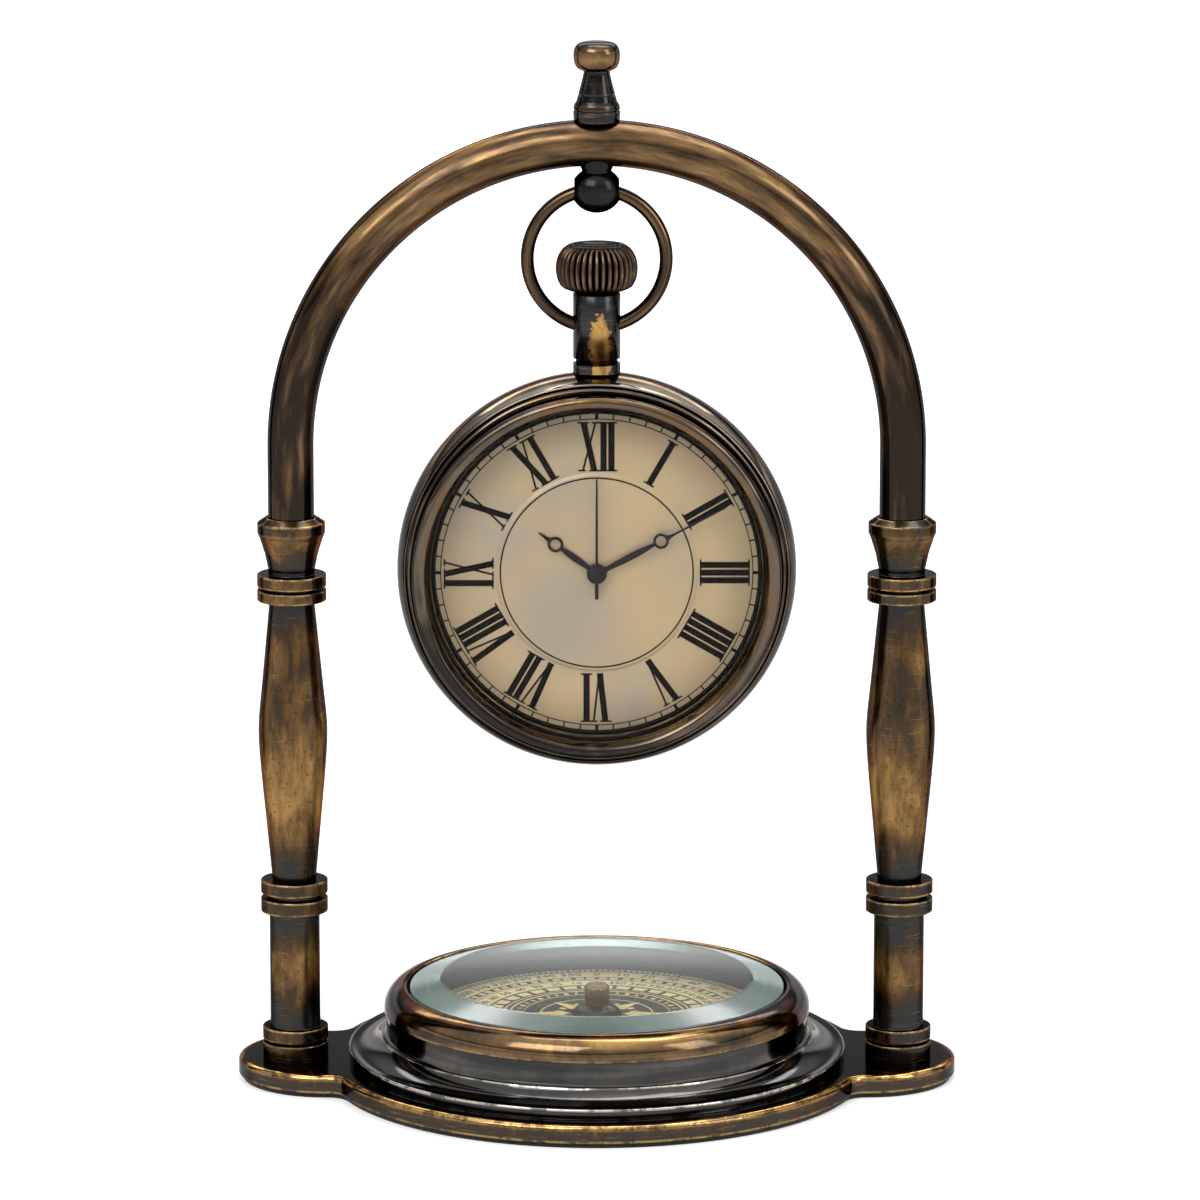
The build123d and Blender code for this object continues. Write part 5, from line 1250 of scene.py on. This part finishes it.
def number_mesh(text, size, material):
    """A flat number in the XY plane, centred, from Blender's own font."""
    font = bpy.data.curves.new("number", "FONT")
    font.body = text
    font.size = size * MM
    font.align_x, font.align_y = "CENTER", "CENTER"
    font.resolution_u = 2
    font.extrude = 0.02 * MM
    return new_object("number", evaluated_mesh(new_object("number", font), "number"), material)


CARD_TOP = 9.9


def shape_card(compass):
    """The compass card with its scales, and a generic star on its dark middle."""
    toned = (*Vector(compass.card[:3]) * 0.86, 1.0)
    matt = {"Specular IOR Level": 0.2}
    paper = speckled("Card, aged paper under varnish", toned, compass.card, 5, 0.5)
    ink = speckled("Dark printing ink on paper", compass.card_print, "#2f2923", 1, 0.5, **matt)
    dark = speckled("Dark printed ground on paper", compass.card_centre, "#2f2e30", 3, 0.45, **matt)
    gilt = speckled("Gilt printing ink", "#c4a564", "#dcc285", 1.5, 0.45)
    disc = [(1.3, 9.4), (38.0, 9.4), (38.0, CARD_TOP), (1.3, CARD_TOP)]
    turned_piece("compass_card", "compass_card", "card", profile(disc), paper, sides=144)

    scales = (
        (180, 37.0, 0.34, 1.6, 5, 1.8, ink), (72, 30.2, 0.6, 1.5, 2, 1.8, ink),
        (36, 22.5, 0.9, 2.4, 1, 1.0, ink), (48, 17.6, 0.5, 1.3, 3, 2.0, gilt),
        (24, 8.6, 0.5, 1.6, 2, 2.2, gilt),
    )
    tree = tick_tree()
    prints = [ring_of_ticks(tree, "card_ticks", *scale) for scale in scales]
    lines = ((35.8, 36.15), (31.0, 31.3), (29.2, 29.45), (28.3, 28.5), (24.0, 24.5), (20.8, 21.4))
    prints += [flat_ring("card_line", inner, outer, 0.03, ink, 144) for inner, outer in lines]
    for tens in range(36):
        turn = Matrix.Rotation(-radians(10 * tens), 4, "Z")
        for radius, size, text in ((33.5, 3.3, str(10 * tens)), (26.3, 2.7, str(10 * (36 - tens) % 360))):
            number = number_mesh(text, size, ink)
            number.data.transform(turn @ Matrix.Translation((0, radius * MM, 0.02 * MM)))
            prints.append(number)
    prints.append(flat_ring("card_dark", 1.3, 20.4, 0.02, dark, 96))
    strokes = []
    for point in range(8):
        reach, waist = (16.0, 6.4) if point % 2 == 0 else (13.4, 5.4)
        left = [(0.0, 6.2), (-1.55, waist + 1.2), (-0.35, reach - 1.4), (0.0, reach - 1.2)]
        right = [(0, 5.6), (1.9, waist + 1.2), (0, reach)]
        strokes += [(clockwise(shape, radians(45 * point)), 0.1) for shape in (left, right)]
    prints.append(inked("card_star", strokes, gilt))
    lines = ((19.0, 19.4), (16.1, 16.3), (12.2, 12.5))
    prints += [flat_ring("card_gilt", inner, outer, 0.08, gilt, 96) for inner, outer in lines]
    printed = joined("compass_card_print", prints)
    printed.data.transform(Matrix.Translation((0, 0, CARD_TOP * MM)))
    dress(printed, "compass_card", "card")

    hub = [(1.3, 9.9), (5.4, 9.9), (5.3, 10.4, 0.2), (4.6, 11.3, 0.5), (2.9, 12.1, 0.4), (2.8, 12.2),
           (1.3, 12.2)]
    boss =speckled("Brass boss, pressed, dark lacquer", "#3a3836", "#4c4843", 2, 0.3, metallic=0.8)
    turned_piece("compass_hub", "compass_card", "compass_boss", profile(hub), boss, sides=64)
    cap = [(0, 15.5), (0.8, 15.5), (0.8, 12.2), (2.7, 12.2), (2.75, 16.0, 0.3), (2.1, 16.65, 0.25),
           (0, 16.65)]
    cap = profile(cap, 0, False)
    brass = speckled("Brass pin, turned, worn lacquer", "#8a6f4a", "#a98a5a", 3, 0.25, 1.0, 0.03)
    turned_piece("compass_cap", "compass_card", "pivot_brass", cap, brass, sides=48, closed=False)
    finish_node("compass_pivot", brass)


def dress_works():
    """The movement and the hidden fasteners keep their CAD shapes in their real materials."""
    steel = speckled("Steel, turned, zinc plated", "#8d8f90", "#a3a4a3", 1.5, 0.3, metallic=1.0)
    shell = speckled("ABS, moulded, black, fine texture", "#1a1a1b", "#212122", 0.5, 0.5, relief=0.4)
    gears = speckled("Acetal, moulded, natural white", "#d9d6cc", "#e6e3da", 1, 0.4, relief=0.2)
    spring = speckled("Spring steel, nickel plated", "#a9a59c", "#bcb7ad", 1.2, 0.25, metallic=1.0)
    laminate = speckled("Glass-fibre laminate, green mask", "#1f4a33", "#2a5a40", 0.8, 0.4, relief=0.3)
    copper = speckled("Copper wire, enamelled, wound", "#8a4a26", "#a8612f", 0.4, 0.35, 1.0, 0.8)
    cell = speckled("Printed film on a steel cell", "#2c3f5c", "#33486a", 3, 0.3, **{"Coat Weight": 0.3})
    finishes = {
        "tie_screws": steel, "hanger_stud": steel, "compass_screws": steel, "crown_stem": steel,
        "second_arbor": steel, "compass_magnets": steel, "movement_tray": shell, "movement_lid": shell,
        "hour_wheel": gears, "minute_wheel": gears, "minute_pipe": gears, "setting_knob": gears,
        "battery_contacts": spring, "circuit_board": laminate, "drive_coil": copper, "battery": cell,
    }
    for node, material in finishes.items():
        finish_node(node, material)


def facing(spot, aim):
    """The turn of a lamp or camera that looks from a spot at a point."""
    return (Vector(aim) - Vector(spot)).to_track_quat("-Z", "Y").to_euler()


def box_lamp(name, spot, size, power):
    """A softbox: a rectangular lamp that looks at the clock."""
    lamp = bpy.data.lights.new(name, "AREA")
    lamp.shape = "RECTANGLE"
    lamp.size, lamp.size_y = size
    lamp.energy = power
    obj = new_object(name, lamp)
    obj.location = spot
    obj.rotation_euler = facing(spot, (0, 0, 0.1))


def seen_rays(add):
    """1 for rays that the camera, a mirror or glass sees, and the function's light paths."""
    path = add("ShaderNodeLightPath").node.outputs
    seen = add("ShaderNodeMath", (path["Is Camera Ray"], path["Is Glossy Ray"]), operation="MAXIMUM")
    return add("ShaderNodeMath", (seen, path["Is Transmission Ray"]), operation="MAXIMUM"), path


def panel(name, corners, material):
    """A flat sheet of the stage."""
    sheet = new_object(name, new_mesh(name, corners, [(0, 1, 2, 3)]), material)
    return sheet


# How bright the room is by height, from the floor's level up, as metal and glass mirror it
ROOM = ((0.0, 1.0), (0.14, 1.0), (0.17, 1.4), (0.25, 1.2), (0.2555, 0.14), (0.3, 0.14), (0.42, 0.8),
        (0.6, 1.1), (0.95, 1.9))
FLOOR_REACH = 3.0


def set_stage(stage):
    """A white sweep, soft lamps and the camera at the photograph's angle."""
    scene = bpy.context.scene
    scene.view_settings.view_transform = "Standard"
    # The floor: white to the camera and to reflections, with the object's soft shadow kept
    material, add = new_material("Paper sweep, matt white")
    seen = seen_rays(add)[0]
    # Less of its own light near the clock, so that the soft shadow shows
    spot = add("ShaderNodeTexCoord", out="Object")
    away = add("ShaderNodeVectorMath", (spot,), operation="LENGTH", out="Value")
    glow = add("ShaderNodeMapRange", (away, 0.15, 1.0, 0.42, 0.7))
    glow = add("ShaderNodeMath", (seen, glow), operation="MULTIPLY")
    paper = add("ShaderNodeBsdfDiffuse", (linear("#d2d2d2"),))
    light = add("ShaderNodeEmission", (tuple(stage.white), glow))
    add("ShaderNodeOutputMaterial", (add("ShaderNodeAddShader", (paper, light)),))
    size = FLOOR_REACH
    panel("floor", [(-size, -size, 0), (size, -size, 0), (size, size, 0), (-size, size, 0)], material)

    world = bpy.data.worlds.new("Studio")
    scene.world = world
    world.use_nodes = True
    world.node_tree.nodes.clear()
    add = partial(add_node, world.node_tree)
    seen, path = seen_rays(add)
    level = add("ShaderNodeMapRange", {0: seen, 3: 0.55, 4: 1.0})
    # Above the sweep, metal and glass mirror the darker room
    way = add("ShaderNodeTexCoord", out="Generated")
    height = add("ShaderNodeSeparateXYZ", (way,), out=2)
    room = add("ShaderNodeValToRGB", (height,), stops=[(place, (v, v, v, 1)) for place, v in ROOM])
    level = add("ShaderNodeMix", {0: path["Is Glossy Ray"], 2: level, 3: room}, data_type="FLOAT")
    add("ShaderNodeOutputWorld", (add("ShaderNodeBackground", (tuple(stage.white), level)),))

    # Black cards at both sides, out of the picture, draw dark lines down polished metal
    card, add = new_material("Card, matt black")
    add("ShaderNodeOutputMaterial", (add("ShaderNodeBsdfDiffuse", (linear("#101010"),)),))
    for x in (-0.27, 0.27):
        near, far, top = 0.06, 0.13, 0.5
        flag = panel("flag", [(x, near, 0.001), (x, far, 0.001), (x, far, top), (x, near, top)], card)
        flag.visible_camera = flag.visible_diffuse = flag.visible_shadow = flag.visible_transmission = False

    box_lamp("Key softbox", (-0.7, -1.1, 1.3), (1.1, 0.8), 16)
    box_lamp("Top softbox", (0.1, 0.3, 1.3), (1.0, 0.6), 10)
    box_lamp("Rim strip", (0, 1.3, 1.05), (1.8, 0.22), 9)
    box_lamp("Fill softbox", (1.1, -0.7, 0.8), (0.5, 0.9), 6)

    camera = bpy.data.cameras.new("Camera")
    camera.lens = stage.lens
    camera.sensor_width = 36
    camera.clip_end = 20
    obj = new_object("Camera", camera)
    obj.location = (0, -stage.camera_distance, stage.camera_height)
    obj.rotation_euler = facing(obj.location, (stage.aim_side, 0, stage.aim_height))
    scene.camera = obj


class CLOCK_OT_base_plate(bpy.types.Operator):
    """Shape the lobed base plate and finish the felt under it"""

    bl_idname = "clock.base_plate"
    bl_label = "Base plate"

    def execute(self, context):
        shape_base_plate(context.scene.clock_stand)
        return {"FINISHED"}


class CLOCK_OT_columns(bpy.types.Operator):
    """Turn the two columns"""

    bl_idname = "clock.columns"
    bl_label = "Columns"

    def execute(self, context):
        shape_columns(context.scene.clock_stand)
        return {"FINISHED"}


class CLOCK_OT_arch(bpy.types.Operator):
    """Bend the arch rod and turn its finial and ball"""

    bl_idname = "clock.arch"
    bl_label = "Arch, finial and ball"

    def execute(self, context):
        shape_arch(context.scene.clock_stand)
        return {"FINISHED"}


class CLOCK_OT_pendant(bpy.types.Operator):
    """Bend the bow, finish the neck and flute the crown"""

    bl_idname = "clock.pendant"
    bl_label = "Bow, neck and crown"

    def execute(self, context):
        shape_bow()
        shape_neck()
        shape_crown(context.scene.clock_watch)
        return {"FINISHED"}


class CLOCK_OT_case(bpy.types.Operator):
    """Turn the watch case, its bezel, cover and glass"""

    bl_idname = "clock.case"
    bl_label = "Watch case"

    def execute(self, context):
        shape_case()
        return {"FINISHED"}


class CLOCK_OT_dial(bpy.types.Operator):
    """Make the dial, its print and the hands"""

    bl_idname = "clock.dial"
    bl_label = "Dial and hands"

    def execute(self, context):
        shape_dial(context.scene.clock_watch)
        shape_hands(context.scene.clock_watch)
        return {"FINISHED"}


class CLOCK_OT_compass(bpy.types.Operator):
    """Turn the compass bowl, bezel and glass, and print the card"""

    bl_idname = "clock.compass"
    bl_label = "Compass"

    def execute(self, context):
        shape_compass(context.scene.clock_compass)
        shape_card(context.scene.clock_compass)
        return {"FINISHED"}


class CLOCK_OT_works(bpy.types.Operator):
    """Finish the movement and the hidden fasteners"""

    bl_idname = "clock.works"
    bl_label = "Movement and fasteners"

    def execute(self, context):
        dress_works()
        return {"FINISHED"}


class CLOCK_OT_stage(bpy.types.Operator):
    """Set the floor, lamps and camera"""

    bl_idname = "clock.stage"
    bl_label = "Stage"

    def execute(self, context):
        set_stage(context.scene.clock_stage)
        return {"FINISHED"}


OPERATORS = (
    CLOCK_OT_base_plate,
    CLOCK_OT_columns,
    CLOCK_OT_arch,
    CLOCK_OT_pendant,
    CLOCK_OT_case,
    CLOCK_OT_dial,
    CLOCK_OT_compass,
    CLOCK_OT_works,
    CLOCK_OT_stage,
)


class CLOCK_PT_panel(bpy.types.Panel):
    """Lists the clock's pieces and their settings"""

    bl_label = "Desk Clock"
    bl_idname = "CLOCK_PT_panel"
    bl_space_type = "VIEW_3D"
    bl_region_type = "UI"
    bl_category = "Desk Clock"

    def draw(self, context):
        for operator in OPERATORS:
            self.layout.operator(operator.bl_idname)
        for group, kind in SETTINGS.items():
            box = self.layout.box()
            for setting in kind.__annotations__:
                box.prop(getattr(context.scene, group), setting)


CLASSES = (*SETTINGS.values(), *OPERATORS, CLOCK_PT_panel)


def register():
    for kind in CLASSES:
        bpy.utils.register_class(kind)
    for group, kind in SETTINGS.items():
        setattr(bpy.types.Scene, group, bpy.props.PointerProperty(type=kind))


def unregister():
    for group in SETTINGS:
        delattr(bpy.types.Scene, group)
    for kind in reversed(CLASSES):
        bpy.utils.unregister_class(kind)


def main():
    register()
    for operator in OPERATORS:
        group, name = operator.bl_idname.split(".")
        getattr(getattr(bpy.ops, group), name)()
    bpy.context.view_layer.update()


if __name__ == "__main__":
    main()
